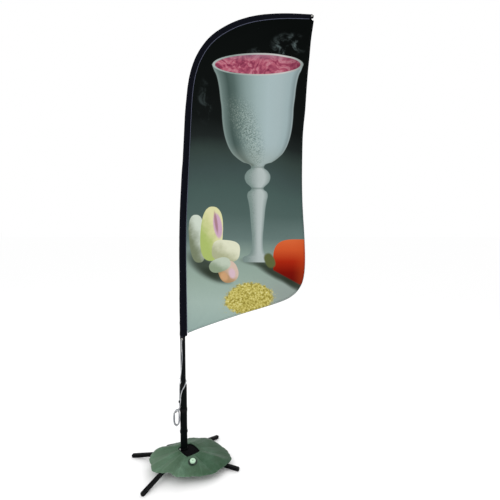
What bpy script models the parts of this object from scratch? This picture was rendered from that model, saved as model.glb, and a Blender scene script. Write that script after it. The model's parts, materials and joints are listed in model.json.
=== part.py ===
"""Feather flag on a swivelling pole, standing on a folding cross base with a water bag.

Metres, +Z up. The pole's axis is the Z axis, the flag flies towards +X and its printed
face looks towards -Y. The origin is the flat underside of the spindle bolt's head, and
the floor lies FLOOR below it.
"""

import math

import bmesh
import bpy
from mathutils import Matrix, Vector

GAP = 0.0003

# Cross base: two square tubes, bent down from a raised middle to the floor.
FLOOR = -0.0475
BAR_SIDE = 0.020
BAR_WALL = 0.002
BAR_REACH = 0.348
BAR_FLAT = 0.042
BAR_END_HEIGHT = 0.0114
LOWER_BAR_TURN = math.radians(-11.8)
UPPER_BAR_TURN = math.radians(58.2)
FOOT_SIDE = 0.023
FOOT_LENGTH = 0.016
FOOT_PLUG = 0.022

# Spindle: one bolt holds both bars and the post that the flag swivels on.
BOLT_RADIUS = 0.005
BOLT_HOLE_RADIUS = 0.0053
BOLT_HEAD_RADIUS = 0.0098
BOLT_HEAD_HEIGHT = 0.0064
BOLT_THREAD_IN_POST = 0.018
WASHER_RADIUS = 0.016
WASHER_THICKNESS = 0.0015
FLANGE_RADIUS = 0.025
FLANGE_THICKNESS = 0.008
POST_RADIUS = 0.008
POST_LENGTH = 0.180

# Rotator tube and the pole sections above it.
ROTATOR_RADIUS = 0.022
ROTATOR_INNER = 0.0186
ROTATOR_LENGTH = 0.402
POLE_RADII = (0.0160, 0.0137, 0.0112)
POLE_WALL = 0.002
POLE_OVERLAP = 0.100
LOWER_SECTION_TOP = 1.000
MIDDLE_SECTION_TOP = 1.760
UPPER_SECTION_REACH = 0.360
ROD_START_RADIUS = 0.0070
ROD_TIP_RADIUS = 0.0040

# Flag: the pole's bent line, the sleeve round it and the free edge, as (x, z).
POLE_LINE = (
    (0.000, 0.850), (0.000, 1.250), (0.003, 1.450), (0.009, 1.600), (0.018, 1.750),
    (0.026, 1.880), (0.034, 2.010), (0.042, 2.140), (0.049, 2.240), (0.060, 2.330),
    (0.078, 2.410), (0.106, 2.482), (0.146, 2.548), (0.200, 2.606), (0.268, 2.652),
    (0.350, 2.690), (0.445, 2.716), (0.545, 2.728), (0.650, 2.731), (0.770, 2.726),
)
SLEEVE_BOTTOM = 0.7885
SLEEVE_SIDES = 18
SLEEVE_SLACK = 0.0012
CLOTH = 0.0008
FREE_EDGE = (
    (0.033, 0.808), (0.122, 0.842), (0.254, 0.889), (0.392, 0.935), (0.500, 0.968),
    (0.590, 0.998), (0.660, 1.027), (0.707, 1.062), (0.738, 1.105), (0.755, 1.152),
    (0.763, 1.215), (0.764, 1.300), (0.757, 1.440), (0.750, 1.540), (0.744, 1.640),
    (0.741, 1.785), (0.742, 1.975), (0.747, 2.075), (0.756, 2.170), (0.763, 2.285),
    (0.771, 2.400), (0.780, 2.500), (0.789, 2.600), (0.799, 2.668), (0.803, 2.700),
)
HEM_WIDTH = 0.011
HEM_THICKNESS = 0.0016

# Water bag: a soft ring over the middle of the base, at its own centre.
BAG_CENTRE = Vector((0.034, -0.016))
BAG_HOLE = 0.067
BAG_RADII = (
    0.268, 0.255, 0.236, 0.237, 0.212, 0.202, 0.200, 0.206, 0.220,
    0.248, 0.240, 0.242, 0.198, 0.207, 0.194, 0.206, 0.227, 0.240,
)
BAG_SLUMP = (
    0.000, 0.000, 0.000, 0.000, 0.000, 0.000, 0.036, 0.026, 0.000,
    0.000, 0.000, 0.000, 0.000, 0.000, 0.006, 0.006, 0.003, 0.000,
)
BAG_CLEAR = 0.0010
BAG_THICK = 0.022
BAG_EDGE = 0.007
LINER_RADIUS = 0.028
LINER_THICKNESS = 0.001
LINER_RISE = 0.0045
VALVE_AT = Vector((0.074, -0.132))
VALVE_RADIUS = 0.028
CAP_RADIUS = 0.0175

# Tension cord: a round cord from the sleeve's foot, once round the pole, to the hook.
CORD_RADIUS = 0.0025
CORD_LIFT = 0.0007
HOOK_AT = (-0.041, 0.312)
HANK_HALF = (0.017, 0.052)
HANK_POINTS = 31
TOGGLE_HEIGHT = 0.370
TOGGLE_WALL = 0.0024


def clear_scene():
    for old in list(bpy.data.objects):
        bpy.data.objects.remove(old, do_unlink=True)


def material(name, colour, roughness=0.5, metallic=0.0):
    made = bpy.data.materials.new(name)
    made.use_nodes = True
    shader = made.node_tree.nodes["Principled BSDF"]
    shader.inputs["Base Color"].default_value = (*colour, 1.0)
    shader.inputs["Roughness"].default_value = roughness
    shader.inputs["Metallic"].default_value = metallic
    made.diffuse_color = (*colour, 1.0)
    return made


def add_mesh(name, points, faces, look, smooth=True, matrix=None):
    """A closed mesh object with its faces turned outwards."""
    mesh = bpy.data.meshes.new(name)
    mesh.from_pydata([tuple(point) for point in points], [], faces)
    work = bmesh.new()
    work.from_mesh(mesh)
    bmesh.ops.recalc_face_normals(work, faces=work.faces)
    work.to_mesh(mesh)
    work.free()
    for face in mesh.polygons:
        face.use_smooth = smooth
    obj = bpy.data.objects.new(name, mesh)
    bpy.context.scene.collection.objects.link(obj)
    obj.data.materials.append(look)
    if matrix is not None:
        obj.matrix_world = matrix
    return obj


def loft(name, rings, look, ring_closed=True, smooth=True, matrix=None):
    """Joins rings of equal count. A closed loft returns to its first ring; an open one is capped."""
    count = len(rings[0])
    points = [point for ring in rings for point in ring]
    faces = []
    steps = len(rings) if ring_closed else len(rings) - 1
    for i in range(steps):
        a = i * count
        b = (i + 1) % len(rings) * count
        for j in range(count):
            k = (j + 1) % count
            faces.append((a + j, a + k, b + k, b + j))
    if not ring_closed:
        faces.append(tuple(range(count)))
        last = (len(rings) - 1) * count
        faces.append(tuple(last + j for j in range(count)))
    return add_mesh(name, points, faces, look, smooth, matrix)


def level_ring(radius, height, sides):
    ring = []
    for j in range(sides):
        angle = math.tau * j / sides
        ring.append((radius * math.cos(angle), radius * math.sin(angle), height))
    return ring


def turned(name, profile, look, sides=24, matrix=None):
    """A ring turned from a closed (radius, height) profile that stays off the axis."""
    rings = [level_ring(radius, height, sides) for radius, height in profile]
    obj = loft(name, rings, look, True, True, matrix)
    mark_flat_ends(obj)
    return obj


def turned_solid(name, profile, look, sides=24, matrix=None):
    """A solid turned from an open (radius, height) profile, closed flat at both ends."""
    rings = [level_ring(radius, height, sides) for radius, height in profile]
    obj = loft(name, rings, look, False, True, matrix)
    mark_flat_ends(obj)
    return obj


def mark_flat_ends(obj):
    """Sharp edges where two faces meet at more than 30 degrees, so flats stay flat."""
    work = bmesh.new()
    work.from_mesh(obj.data)
    for edge in work.edges:
        if len(edge.link_faces) == 2 and edge.calc_face_angle(0.0) > math.radians(30):
            edge.smooth = False
    work.to_mesh(obj.data)
    work.free()


def tube_profile(inner, outer, low, high):
    return [(inner, low), (outer, low), (outer, high), (inner, high)]


def box_cutter(name, low, high, matrix=None):
    xs, ys, zs = zip(low, high)
    points = [(x, y, z) for x in xs for y in ys for z in zs]
    faces = [(0, 1, 3, 2), (4, 6, 7, 5), (0, 4, 5, 1), (2, 3, 7, 6), (0, 2, 6, 4), (1, 5, 7, 3)]
    return add_mesh(name, points, faces, LOOKS["steel"], False, matrix)


def round_cutter(name, radius, low, high, matrix=None, sides=16):
    rings = [level_ring(radius, height, sides) for height in (low, high)]
    return loft(name, rings, LOOKS["steel"], False, False, matrix)


def cut(obj, tool):
    """Takes the tool's shape out of the object, and hides the tool."""
    tool.hide_render = True
    tool.display_type = "WIRE"
    step = obj.modifiers.new("cut_" + tool.name, "BOOLEAN")
    step.operation = "DIFFERENCE"
    step.solver = "EXACT"
    step.object = tool


def spline(controls, per_span):
    """Points of a smooth curve through the controls."""
    points = [Vector(p) for p in controls]
    ends = [2 * points[0] - points[1]] + points + [2 * points[-1] - points[-2]]
    found = []
    for i in range(1, len(ends) - 2):
        before, start, end, after = ends[i - 1: i + 3]
        for j in range(per_span):
            t = j / per_span
            found.append(0.5 * (
                2 * start
                + (end - before) * t
                + (2 * before - 5 * start + 4 * end - after) * t * t
                + (3 * start - before - 3 * end + after) * t ** 3
            ))
    found.append(points[-1])
    return found


def circular(values, angle):
    """A smooth value at this angle, from values spaced evenly round a circle."""
    count = len(values)
    place = angle % math.tau / math.tau * count
    i = int(place)
    t = place - i
    before, start, end, after = (values[(i + k) % count] for k in (-1, 0, 1, 2))
    return 0.5 * (
        2 * start
        + (end - before) * t
        + (2 * before - 5 * start + 4 * end - after) * t * t
        + (3 * start - before - 3 * end + after) * t ** 3
    )


# Cross base


def bar_line(middle):
    """(distance from the axis, height) along a bar, from one end to the other."""
    end = FLOOR + BAR_END_HEIGHT
    return [(-BAR_REACH, end), (-BAR_FLAT, middle), (BAR_FLAT, middle), (BAR_REACH, end)]


def square_ring(at, tangent_slopes, half):
    """Corners of a square section whose plane halves the angle between two slopes."""
    lean = sum(math.atan(slope) for slope in tangent_slopes) / 2
    stretch = 1 / math.cos((math.atan(tangent_slopes[0]) - math.atan(tangent_slopes[1])) / 2)
    up = Vector((-math.sin(lean), 0, math.cos(lean))) * half * stretch
    side = Vector((0, half, 0))
    centre = Vector((at[0], 0, at[1]))
    return [centre - side - up, centre + side - up, centre + side + up, centre - side + up]


def base_bar(name, middle, turn):
    line = bar_line(middle)
    slopes = [(b[1] - a[1]) / (b[0] - a[0]) for a, b in zip(line, line[1:])]
    pairs = [(slopes[0], slopes[0])] + list(zip(slopes, slopes[1:])) + [(slopes[-1], slopes[-1])]
    outer = [square_ring(at, pair, BAR_SIDE / 2) for at, pair in zip(line, pairs)]
    inner = [square_ring(at, pair, BAR_SIDE / 2 - BAR_WALL) for at, pair in zip(line, pairs)]
    facing = Matrix.Rotation(turn, 4, "Z")
    bar = loft(name, outer + inner[::-1], LOOKS["bar"], True, False, facing)
    hole = round_cutter(name + "_bolt_hole", BOLT_HOLE_RADIUS, middle - 0.03, middle + 0.03, facing)
    cut(bar, hole)
    return bar


def end_foot(name, middle, turn, sign):
    """A plug in the bar's open end with a rounded nose, flat where it stands on the floor."""
    slope = (FLOOR + BAR_END_HEIGHT - middle) / (BAR_REACH - BAR_FLAT)
    lean = math.atan(slope)
    along = Vector((math.cos(lean), 0, math.sin(lean)))
    up = Vector((-math.sin(lean), 0, math.cos(lean)))
    end = Vector((BAR_REACH, 0, FLOOR + BAR_END_HEIGHT))
    plug = BAR_SIDE / 2 - BAR_WALL - GAP
    half = FOOT_SIDE / 2
    rings = []
    stations = (
        (-FOOT_PLUG, plug), (GAP, plug), (GAP, half - 0.001), (0.0015, half),
        (FOOT_LENGTH * 0.5, half), (FOOT_LENGTH * 0.8, half * 0.86), (FOOT_LENGTH, half * 0.55),
    )
    for distance, size in stations:
        ring = []
        for j in range(16):
            angle = math.tau * (j + 0.5) / 16
            c, s = math.cos(angle), math.sin(angle)
            power = 0.34 if size > plug else 0.22
            across = math.copysign(abs(c) ** power, c) * size
            high = math.copysign(abs(s) ** power, s) * size
            ring.append(end + along * distance + Vector((0, across, 0)) + up * high)
        rings.append(ring)
    facing = Matrix.Rotation(turn + (0 if sign > 0 else math.pi), 4, "Z")
    foot = loft(name, rings, LOOKS["foot"], False, True, facing)
    ground = box_cutter(
        name + "_ground", (0.30, -0.03, FLOOR - 0.05), (0.40, 0.03, FLOOR), facing
    )
    cut(foot, ground)
    mark_flat_ends(foot)
    return foot


def build_base():
    """Washers, bars and bolt from the floor side up, each one GAP from the next."""
    level = BOLT_HEAD_HEIGHT + GAP
    turned("bolt_washer", tube_profile(BOLT_HOLE_RADIUS, WASHER_RADIUS, level, level + WASHER_THICKNESS),
           LOOKS["steel"])
    level += WASHER_THICKNESS + GAP
    lower_middle = level + BAR_SIDE / 2
    base_bar("lower_bar", lower_middle, LOWER_BAR_TURN)
    end_foot("lower_bar_foot_right", lower_middle, LOWER_BAR_TURN, 1)
    end_foot("lower_bar_foot_left", lower_middle, LOWER_BAR_TURN, -1)
    level += BAR_SIDE + GAP
    turned("friction_washer",
           tube_profile(BOLT_HOLE_RADIUS, WASHER_RADIUS, level, level + WASHER_THICKNESS), LOOKS["nylon"])
    level += WASHER_THICKNESS + GAP
    upper_middle = level + BAR_SIDE / 2
    base_bar("upper_bar", upper_middle, UPPER_BAR_TURN)
    end_foot("upper_bar_foot_back", upper_middle, UPPER_BAR_TURN, 1)
    end_foot("upper_bar_foot_front", upper_middle, UPPER_BAR_TURN, -1)
    level += BAR_SIDE + GAP
    turned("top_washer", tube_profile(BOLT_HOLE_RADIUS, WASHER_RADIUS, level, level + WASHER_THICKNESS),
           LOOKS["steel"])
    level += WASHER_THICKNESS + GAP
    build_bolt(level + BOLT_THREAD_IN_POST)
    return upper_middle, level


def build_bolt(top):
    """A hexagonal head, a round shank and a chamfered end."""
    sides = 24
    sixth = math.pi / 3
    rings = []
    for height in (0.0, BOLT_HEAD_HEIGHT):
        ring = []
        for j in range(sides):
            angle = math.tau * j / sides
            from_flat = (angle + sixth / 2) % sixth - sixth / 2
            reach = BOLT_HEAD_RADIUS * math.cos(sixth / 2) / math.cos(from_flat)
            ring.append((reach * math.cos(angle), reach * math.sin(angle), height))
        rings.append(ring)
    rings.append(level_ring(BOLT_RADIUS, BOLT_HEAD_HEIGHT, sides))
    rings.append(level_ring(BOLT_RADIUS, top - 0.001, sides))
    rings.append(level_ring(BOLT_RADIUS - 0.001, top, sides))
    mark_flat_ends(loft("spindle_bolt", rings, LOOKS["steel"], False, True))


# Spindle and rotator


def build_spindle(level):
    """The fixed post, its two bushes and the turning tube round them."""
    flange_top = level + FLANGE_THICKNESS
    post_top = level + POST_LENGTH
    rings = [
        (BOLT_HOLE_RADIUS, level), (FLANGE_RADIUS - 0.001, level), (FLANGE_RADIUS, level + 0.001),
        (FLANGE_RADIUS, flange_top - 0.001), (FLANGE_RADIUS - 0.001, flange_top),
        (POST_RADIUS, flange_top), (POST_RADIUS, post_top - 0.0015), (POST_RADIUS - 0.0015, post_top),
        (0.0012, post_top),
        (0.0012, level + BOLT_THREAD_IN_POST + 0.006),
        (BOLT_HOLE_RADIUS, level + BOLT_THREAD_IN_POST + 0.003),
    ]
    turned("spindle_post", rings, LOOKS["bar"])
    bush_low = flange_top + GAP
    bush_lip = bush_low + 0.003
    bore = POST_RADIUS + GAP
    turned("lower_bush", [
        (bore, bush_low), (ROTATOR_RADIUS, bush_low), (ROTATOR_RADIUS, bush_lip),
        (ROTATOR_INNER - GAP, bush_lip), (ROTATOR_INNER - GAP, bush_lip + 0.020), (bore, bush_lip + 0.020),
    ], LOOKS["foot"])
    tube_low = bush_lip + GAP
    tube_high = tube_low + ROTATOR_LENGTH
    turned("rotator_tube", tube_profile(ROTATOR_INNER, ROTATOR_RADIUS, tube_low, tube_high), LOOKS["tube"], 32)
    turned("upper_bush", tube_profile(bore, ROTATOR_INNER - GAP, post_top - 0.030, post_top - 0.010),
           LOOKS["nylon"])
    plug_low = post_top + GAP
    plug_high = plug_low + 0.020
    turned_solid("thrust_plug", [
        (ROTATOR_INNER - GAP, plug_low), (ROTATOR_INNER - GAP, plug_high),
    ], LOOKS["nylon"])
    ring_low = tube_low + 0.098
    turned("rotator_collar", [
        (ROTATOR_RADIUS + GAP, ring_low), (ROTATOR_RADIUS + 0.0022, ring_low),
        (ROTATOR_RADIUS + 0.0028, ring_low + 0.0015), (ROTATOR_RADIUS + 0.0028, ring_low + 0.0135),
        (ROTATOR_RADIUS + 0.0022, ring_low + 0.015), (ROTATOR_RADIUS + GAP, ring_low + 0.015),
    ], LOOKS["tube"], 32)
    turned("lower_reducer", tube_profile(POLE_RADII[0] + GAP, ROTATOR_INNER - GAP,
                                         plug_high + 0.010, plug_high + 0.040), LOOKS["foot"])
    turned("upper_reducer", [
        (POLE_RADII[0] + GAP, tube_high - 0.030), (ROTATOR_INNER - GAP, tube_high - 0.030),
        (ROTATOR_INNER - GAP, tube_high + GAP), (ROTATOR_RADIUS, tube_high + GAP),
        (ROTATOR_RADIUS, tube_high + 0.005), (POLE_RADII[0] + 0.0016, tube_high + 0.017),
        (POLE_RADII[0] + GAP, tube_high + 0.017),
    ], LOOKS["foot"], 32)
    return plug_high + GAP, tube_high + 0.017


# Pole


def pole_frames():
    """Centre points of the bent pole, each with its distance along and outward normal."""
    flat = spline([(x, 0, z) for x, z in POLE_LINE], 3)
    frames = []
    run = 0.0
    for i, point in enumerate(flat):
        ahead = flat[min(i + 1, len(flat) - 1)]
        behind = flat[max(i - 1, 0)]
        tangent = (ahead - behind).normalized()
        normal = Vector((-tangent.z, 0, tangent.x))
        if i:
            run += (point - flat[i - 1]).length
        frames.append((point, tangent, normal, run))
    return frames


def circle_ring(point, normal, radius, sides):
    ring = []
    for j in range(sides):
        angle = math.tau * j / sides
        ring.append(point + normal * radius * math.cos(angle) + Vector((0, radius * math.sin(angle), 0)))
    return ring


def frames_between(frames, low, high):
    """The frames of a stretch of the pole, from one distance along it to another."""
    stretch = [at_distance(frames, low)]
    stretch += [f for f in frames[::2] if low + 0.010 < f[3] < high - 0.010]
    stretch.append(at_distance(frames, high))
    return stretch


def at_distance(frames, distance):
    for before, after in zip(frames, frames[1:]):
        if before[3] <= distance <= after[3]:
            t = (distance - before[3]) / (after[3] - before[3])
            point = before[0].lerp(after[0], t)
            tangent = before[1].lerp(after[1], t).normalized()
            return point, tangent, Vector((-tangent.z, 0, tangent.x)), distance
    point, tangent, normal, run = frames[-1]
    return point + tangent * (distance - run), tangent, normal, distance


def build_pole(frames, foot):
    """Three telescoped tubes, the bands at their joints and the thin rod at the tip."""
    base = frames[0][0].z
    sides = 18
    lower, middle, upper = POLE_RADII
    turned("pole_lower_section", tube_profile(lower - POLE_WALL, lower, foot, LOWER_SECTION_TOP),
           LOOKS["pole"], sides)
    middle_low = LOWER_SECTION_TOP - POLE_OVERLAP
    middle_top = next(f[3] for f in frames if f[0].z >= MIDDLE_SECTION_TOP)
    straight = [(Vector((0, 0, middle_low)), Vector((0, 0, 1)), Vector((-1, 0, 0)), middle_low - base)]
    middle_part = straight + frames_between(frames, LOWER_SECTION_TOP - base, middle_top)
    upper_top = middle_top + UPPER_SECTION_REACH
    upper_part = frames_between(frames, middle_top - POLE_OVERLAP, upper_top)
    for name, stretch, radius in (
        ("pole_middle_section", middle_part, middle),
        ("pole_upper_section", upper_part, upper),
    ):
        rings = [circle_ring(f[0], f[2], radius, sides) for f in stretch]
        rings += [circle_ring(f[0], f[2], radius - POLE_WALL, sides) for f in stretch[::-1]]
        mark_flat_ends(loft(name, rings, LOOKS["pole"]))
    for name, at, radius in (
        ("lower_joint_band", LOWER_SECTION_TOP - base, middle),
        ("upper_joint_band", middle_top, upper),
    ):
        stretch = [at_distance(frames, at + GAP), at_distance(frames, at + 0.014)]
        rings = [circle_ring(f[0], f[2], radius + 0.0021, sides) for f in stretch]
        rings += [circle_ring(f[0], f[2], radius + GAP, sides) for f in stretch[::-1]]
        mark_flat_ends(loft(name, rings, LOOKS["foot"]))
    rod_start = upper_top - POLE_OVERLAP
    rod_end = frames[-1][3]
    stretch = frames_between(frames, rod_start, rod_end)
    rings = []
    for point, _, normal, run in stretch:
        share = (run - rod_start) / (rod_end - rod_start)
        rings.append(circle_ring(point, normal, rod_radius(share), 12))
    mark_flat_ends(loft("flexible_tip_rod", rings, LOOKS["rod"], False))
    stretch = [at_distance(frames, upper_top + GAP), at_distance(frames, upper_top + 0.012)]
    share = (upper_top + 0.012 - rod_start) / (rod_end - rod_start)
    rings = [circle_ring(stretch[0][0], stretch[0][2], upper, sides),
             circle_ring(stretch[1][0], stretch[1][2], upper * 0.8, sides)]
    bore = rod_radius(0) + GAP
    rings += [circle_ring(f[0], f[2], bore, sides) for f in stretch[::-1]]
    mark_flat_ends(loft("rod_ferrule", rings, LOOKS["foot"]))
    end = frames[-1]
    rings = []
    for along, radius in ((GAP, 0.0052), (0.002, 0.0062), (0.008, 0.0062), (0.011, 0.0042)):
        rings.append(circle_ring(end[0] + end[1] * along, end[2], radius, 16))
    mark_flat_ends(loft("pole_tip_ball", rings, LOOKS["foot"], False))


def rod_radius(share):
    return ROD_START_RADIUS + (ROD_TIP_RADIUS - ROD_START_RADIUS) * share


# Flag


def sleeve_core(run, base):
    """Radius of the round hollow in the sleeve at this distance along the pole."""
    height = base + run
    widths = (
        (0.70, POLE_RADII[0]), (LOWER_SECTION_TOP + 0.03, POLE_RADII[0]),
        (LOWER_SECTION_TOP + 0.10, POLE_RADII[1] + 0.0004), (MIDDLE_SECTION_TOP + 0.04, POLE_RADII[1] + 0.0004),
        (MIDDLE_SECTION_TOP + 0.10, POLE_RADII[2] + 0.0004), (2.16, POLE_RADII[2] + 0.0004),
        (2.25, 0.0085), (4.0, 0.0075),
    )
    for before, after in zip(widths, widths[1:]):
        if height <= after[0]:
            t = (height - before[0]) / (after[0] - before[0])
            return before[1] + (after[1] - before[1]) * t + SLEEVE_SLACK
    return widths[-1][1] + SLEEVE_SLACK


def sleeve_tail(run, total):
    """Distance from the pole's centre line to the seam."""
    near_tip = max(0.0, (run - total + 0.30) / 0.30)
    return 0.0275 - 0.006 * min(1.0, run / total) - 0.006 * near_tip


def sleeve_ring(frame, core, tail, outside):
    point, _, normal, _ = frame
    ring = []
    across = Vector((0, 1, 0))
    radius = core + CLOTH if outside else core
    if not outside:
        for j in range(SLEEVE_SIDES):
            angle = math.tau * j / SLEEVE_SIDES
            ring.append(point + normal * radius * math.cos(angle) + across * radius * math.sin(angle))
        return ring
    for j in range(SLEEVE_SIDES):
        angle = math.tau * j / SLEEVE_SIDES
        c, s = math.cos(angle), math.sin(angle)
        if c > -0.35:
            ring.append(point + normal * radius * c + across * radius * s)
            continue
        share = min(1.0, (-c - 0.35) / 0.65)
        start = radius * 0.35
        depth = start + (tail - start) * share ** 0.8
        half = max(CLOTH * 1.3, radius * abs(s) * (1 - share) ** 0.35)
        if depth < radius + 0.002:
            half = max(half, math.sqrt(max(0.0, radius ** 2 - depth ** 2)) * 1.02 + 0.0004)
        ring.append(point - normal * depth + across * math.copysign(half, s))
    return ring


def build_flag(frames):
    """The sleeve round the pole, and the panel between its seam and the free edge."""
    base = frames[0][0].z
    total = frames[-1][3]
    bottom = (Vector((0, 0, SLEEVE_BOTTOM)), Vector((0, 0, 1)), Vector((-1, 0, 0)), SLEEVE_BOTTOM - base)
    stretch = [bottom] + frames[:24:3] + frames[24::2] + [at_distance(frames, total + 0.016)]
    outer = []
    inner = []
    for frame in stretch:
        core = sleeve_core(frame[3], base)
        tail = sleeve_tail(frame[3], total)
        outer.append(sleeve_ring(frame, core, tail, True))
        inner.append(sleeve_ring(frame, core, tail, False))
    mark_flat_ends(loft("flag_sleeve", outer + inner[::-1], LOOKS["sleeve"]))
    seam = [f[0] - f[2] * (sleeve_tail(f[3], total) + 1.5 * GAP) for f in stretch]
    build_panel(seam)


def edge_offsets(line, inset):
    """The free edge moved inwards, to its left as it runs from the foot to the tip."""
    moved = []
    for i, point in enumerate(line):
        ahead = line[min(i + 1, len(line) - 1)]
        behind = line[max(i - 1, 0)]
        tangent = (ahead - behind).normalized()
        moved.append(point + Vector((-tangent.z, 0, tangent.x)) * inset)
    return moved


def crossing(line, height):
    """x where a line of rising points reaches this height."""
    for a, b in zip(line, line[1:]):
        if a.z <= height <= b.z and b.z > a.z:
            return a.x + (b.x - a.x) * (height - a.z) / (b.z - a.z)
    return line[0].x


def build_panel(seam):
    """The printed cloth and the narrow hem along its free edge."""
    edge = spline([(x, 0, z) for x, z in FREE_EDGE], 2)
    inner_edge = edge_offsets(edge, HEM_WIDTH + 2 * GAP)
    low = inner_edge[0].z + 0.001
    outline = [Vector((crossing(seam, low), 0, low))]
    outline += [point for point in seam if point.z > low + 0.002]
    outline += [point for point in inner_edge[::-1] if point.z > low]
    half = CLOTH / 2
    rings = [[(p.x, y, p.z) for p in outline] for y in (-half, half)]
    loft("flag_panel", rings, LOOKS["print"], False, False)
    hem_rings = []
    inner = edge_offsets(edge, HEM_WIDTH)
    half = HEM_THICKNESS / 2
    for out, into in zip(edge, inner):
        hem_rings.append([
            (out.x, -half, out.z), (out.x, half, out.z), (into.x, half, into.z), (into.x, -half, into.z),
        ])
    loft("edge_hem", hem_rings, LOOKS["sleeve"], False, False)


def build_tip(frames):
    """The tough cap sewn over the sleeve's end, and the rivet on its front."""
    total = frames[-1][3]
    point, tangent, normal, _ = at_distance(frames, total + 0.016)
    across = Vector((0, 1, 0))
    rings = []
    for along, half, top, bottom in (
        (GAP, 0.0104, 0.0110, -0.0148), (0.003, 0.0104, 0.0110, -0.0148),
        (0.010, 0.0080, 0.0085, -0.0135), (0.016, 0.0045, 0.0040, -0.0090),
    ):
        ring = []
        for j in range(16):
            angle = math.tau * j / 16
            c, s = math.cos(angle), math.sin(angle)
            reach = top if c > 0 else -bottom
            ring.append(point + tangent * along + normal * c * reach + across * s * half)
        rings.append(ring)
    mark_flat_ends(loft("tip_cap", rings, LOOKS["vinyl"], False))
    rivet = point + tangent * 0.0045 - normal * 0.0035
    facing = Matrix.Translation(rivet) @ Matrix.Rotation(math.pi / 2, 4, "X")
    turned_solid("tip_rivet", [
        (0.0040, 0.0106), (0.0040, 0.0112), (0.0034, 0.0119), (0.0018, 0.0123),
    ], LOOKS["nickel"], 20, facing)


def build_tab():
    """A webbing tab sewn in the sleeve's foot, with the eyelet that the cord is tied to."""
    top = SLEEVE_BOTTOM - GAP
    y = -POLE_RADII[0] - SLEEVE_SLACK - CLOTH / 2
    half = 0.0009
    outline = [(-0.014, top), (0.008, top), (0.008, top - 0.018), (0.004, top - 0.030),
               (-0.010, top - 0.030), (-0.014, top - 0.018)]
    rings = [[(x, y - half, z) for x, z in outline], [(x, y + half, z) for x, z in outline]]
    tab = loft("sleeve_tab", rings, LOOKS["webbing"], False, False)
    centre = Vector((-0.003, y, top - 0.016))
    facing = Matrix.Translation(centre) @ Matrix.Rotation(math.pi / 2, 4, "X")
    cut(tab, round_cutter("tab_hole", 0.0075, -0.01, 0.01, facing))
    bore = 0.0040
    rim = bore + 0.0030
    turned("tab_eyelet", [
        (bore, -0.0016), (rim - 0.0004, -0.0016), (rim, -0.0008), (rim, 0.0008),
        (rim - 0.0004, 0.0016), (bore, 0.0016),
    ], LOOKS["nickel"], 16, facing)
    return centre


# Tension cord


def cord_radius_at(height, tube_top):
    """Distance of the cord's centre from the pole's axis, lying on what is under it."""
    wide = ROTATOR_RADIUS + CORD_RADIUS + CORD_LIFT
    narrow = POLE_RADII[0] + CORD_RADIUS + CORD_LIFT
    if height > tube_top + 0.005:
        return narrow
    if height < tube_top - 0.008:
        return wide
    return wide + (narrow - wide) * (height - tube_top + 0.008) / 0.013


def on_circle(radius, degrees, height):
    turn = math.radians(degrees)
    return Vector((radius * math.cos(turn), radius * math.sin(turn), height))


def cord_route(eye, tube_top):
    """Down the pole to the hank, then up across the tube, round behind it and back to a knot."""
    controls = [Vector((eye.x, eye.y - 0.0052, eye.z - 0.0010)),
                Vector((eye.x - 0.0005, eye.y - 0.0050, eye.z - 0.0200)),
                Vector((eye.x - 0.002, eye.y - 0.0004, eye.z - 0.045))]
    down = (
        (262, 0.660), (252, 0.610), (236, 0.560), (217, 0.526), (205, 0.500), (206, 0.478),
        (209, 0.450), (210, 0.410), (210, TOGGLE_HEIGHT),
    )
    across = (
        (-128, 0.376), (-124, 0.400), (-114, 0.422), (-102, 0.440), (-84, 0.457), (-62, 0.473),
        (-40, 0.485), (-15, 0.493), (20, 0.498), (60, 0.502), (100, 0.506), (140, 0.511), (182, 0.517),
    )
    for angle, height in down:
        radius = cord_radius_at(height, tube_top)
        if height == TOGGLE_HEIGHT:
            radius += TOGGLE_WALL + GAP
        controls.append(on_circle(radius, angle, height))
    top = HOOK_AT[1] + 0.0041 + CORD_RADIUS
    half_x, half_z = HANK_HALF
    centre = Vector((HOOK_AT[0], 0, top - half_z))
    controls.append(Vector((-0.0235, -0.0155, top + 0.012)))
    for i in range(HANK_POINTS + 1):
        turn = math.tau * (i + 1) / 8
        depth = -0.0105 - 0.0058 * i / 8
        width = half_x * (0.93 + 0.15 * math.sin(0.9 * i)) * (1 + 0.4 * math.cos(turn) ** 2)
        drop = half_z * (0.94 + 0.06 * math.cos(1.3 * i)) if math.cos(turn) < 0 else half_z
        controls.append(centre + Vector((width * math.sin(turn), depth, drop * math.cos(turn))))
    controls.append(Vector((-0.0310, -0.0350, top + 0.004)))
    controls.append(Vector((-0.0215, -0.0315, top + 0.022)))
    for angle, height in across:
        controls.append(on_circle(cord_radius_at(height, tube_top), angle, height))
    return controls


def build_cord(eye, tube_top):
    points = spline(cord_route(eye, tube_top), 2)
    curve = bpy.data.curves.new("tension_cord", "CURVE")
    curve.dimensions = "3D"
    curve.bevel_depth = CORD_RADIUS
    curve.bevel_resolution = 2
    curve.use_fill_caps = True
    strand = curve.splines.new("POLY")
    strand.points.add(len(points) - 1)
    for spot, point in zip(strand.points, points):
        spot.co = (*point, 1.0)
    cord = bpy.data.objects.new("tension_cord", curve)
    bpy.context.scene.collection.objects.link(cord)
    cord.data.materials.append(LOOKS["cord"])
    return points


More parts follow.
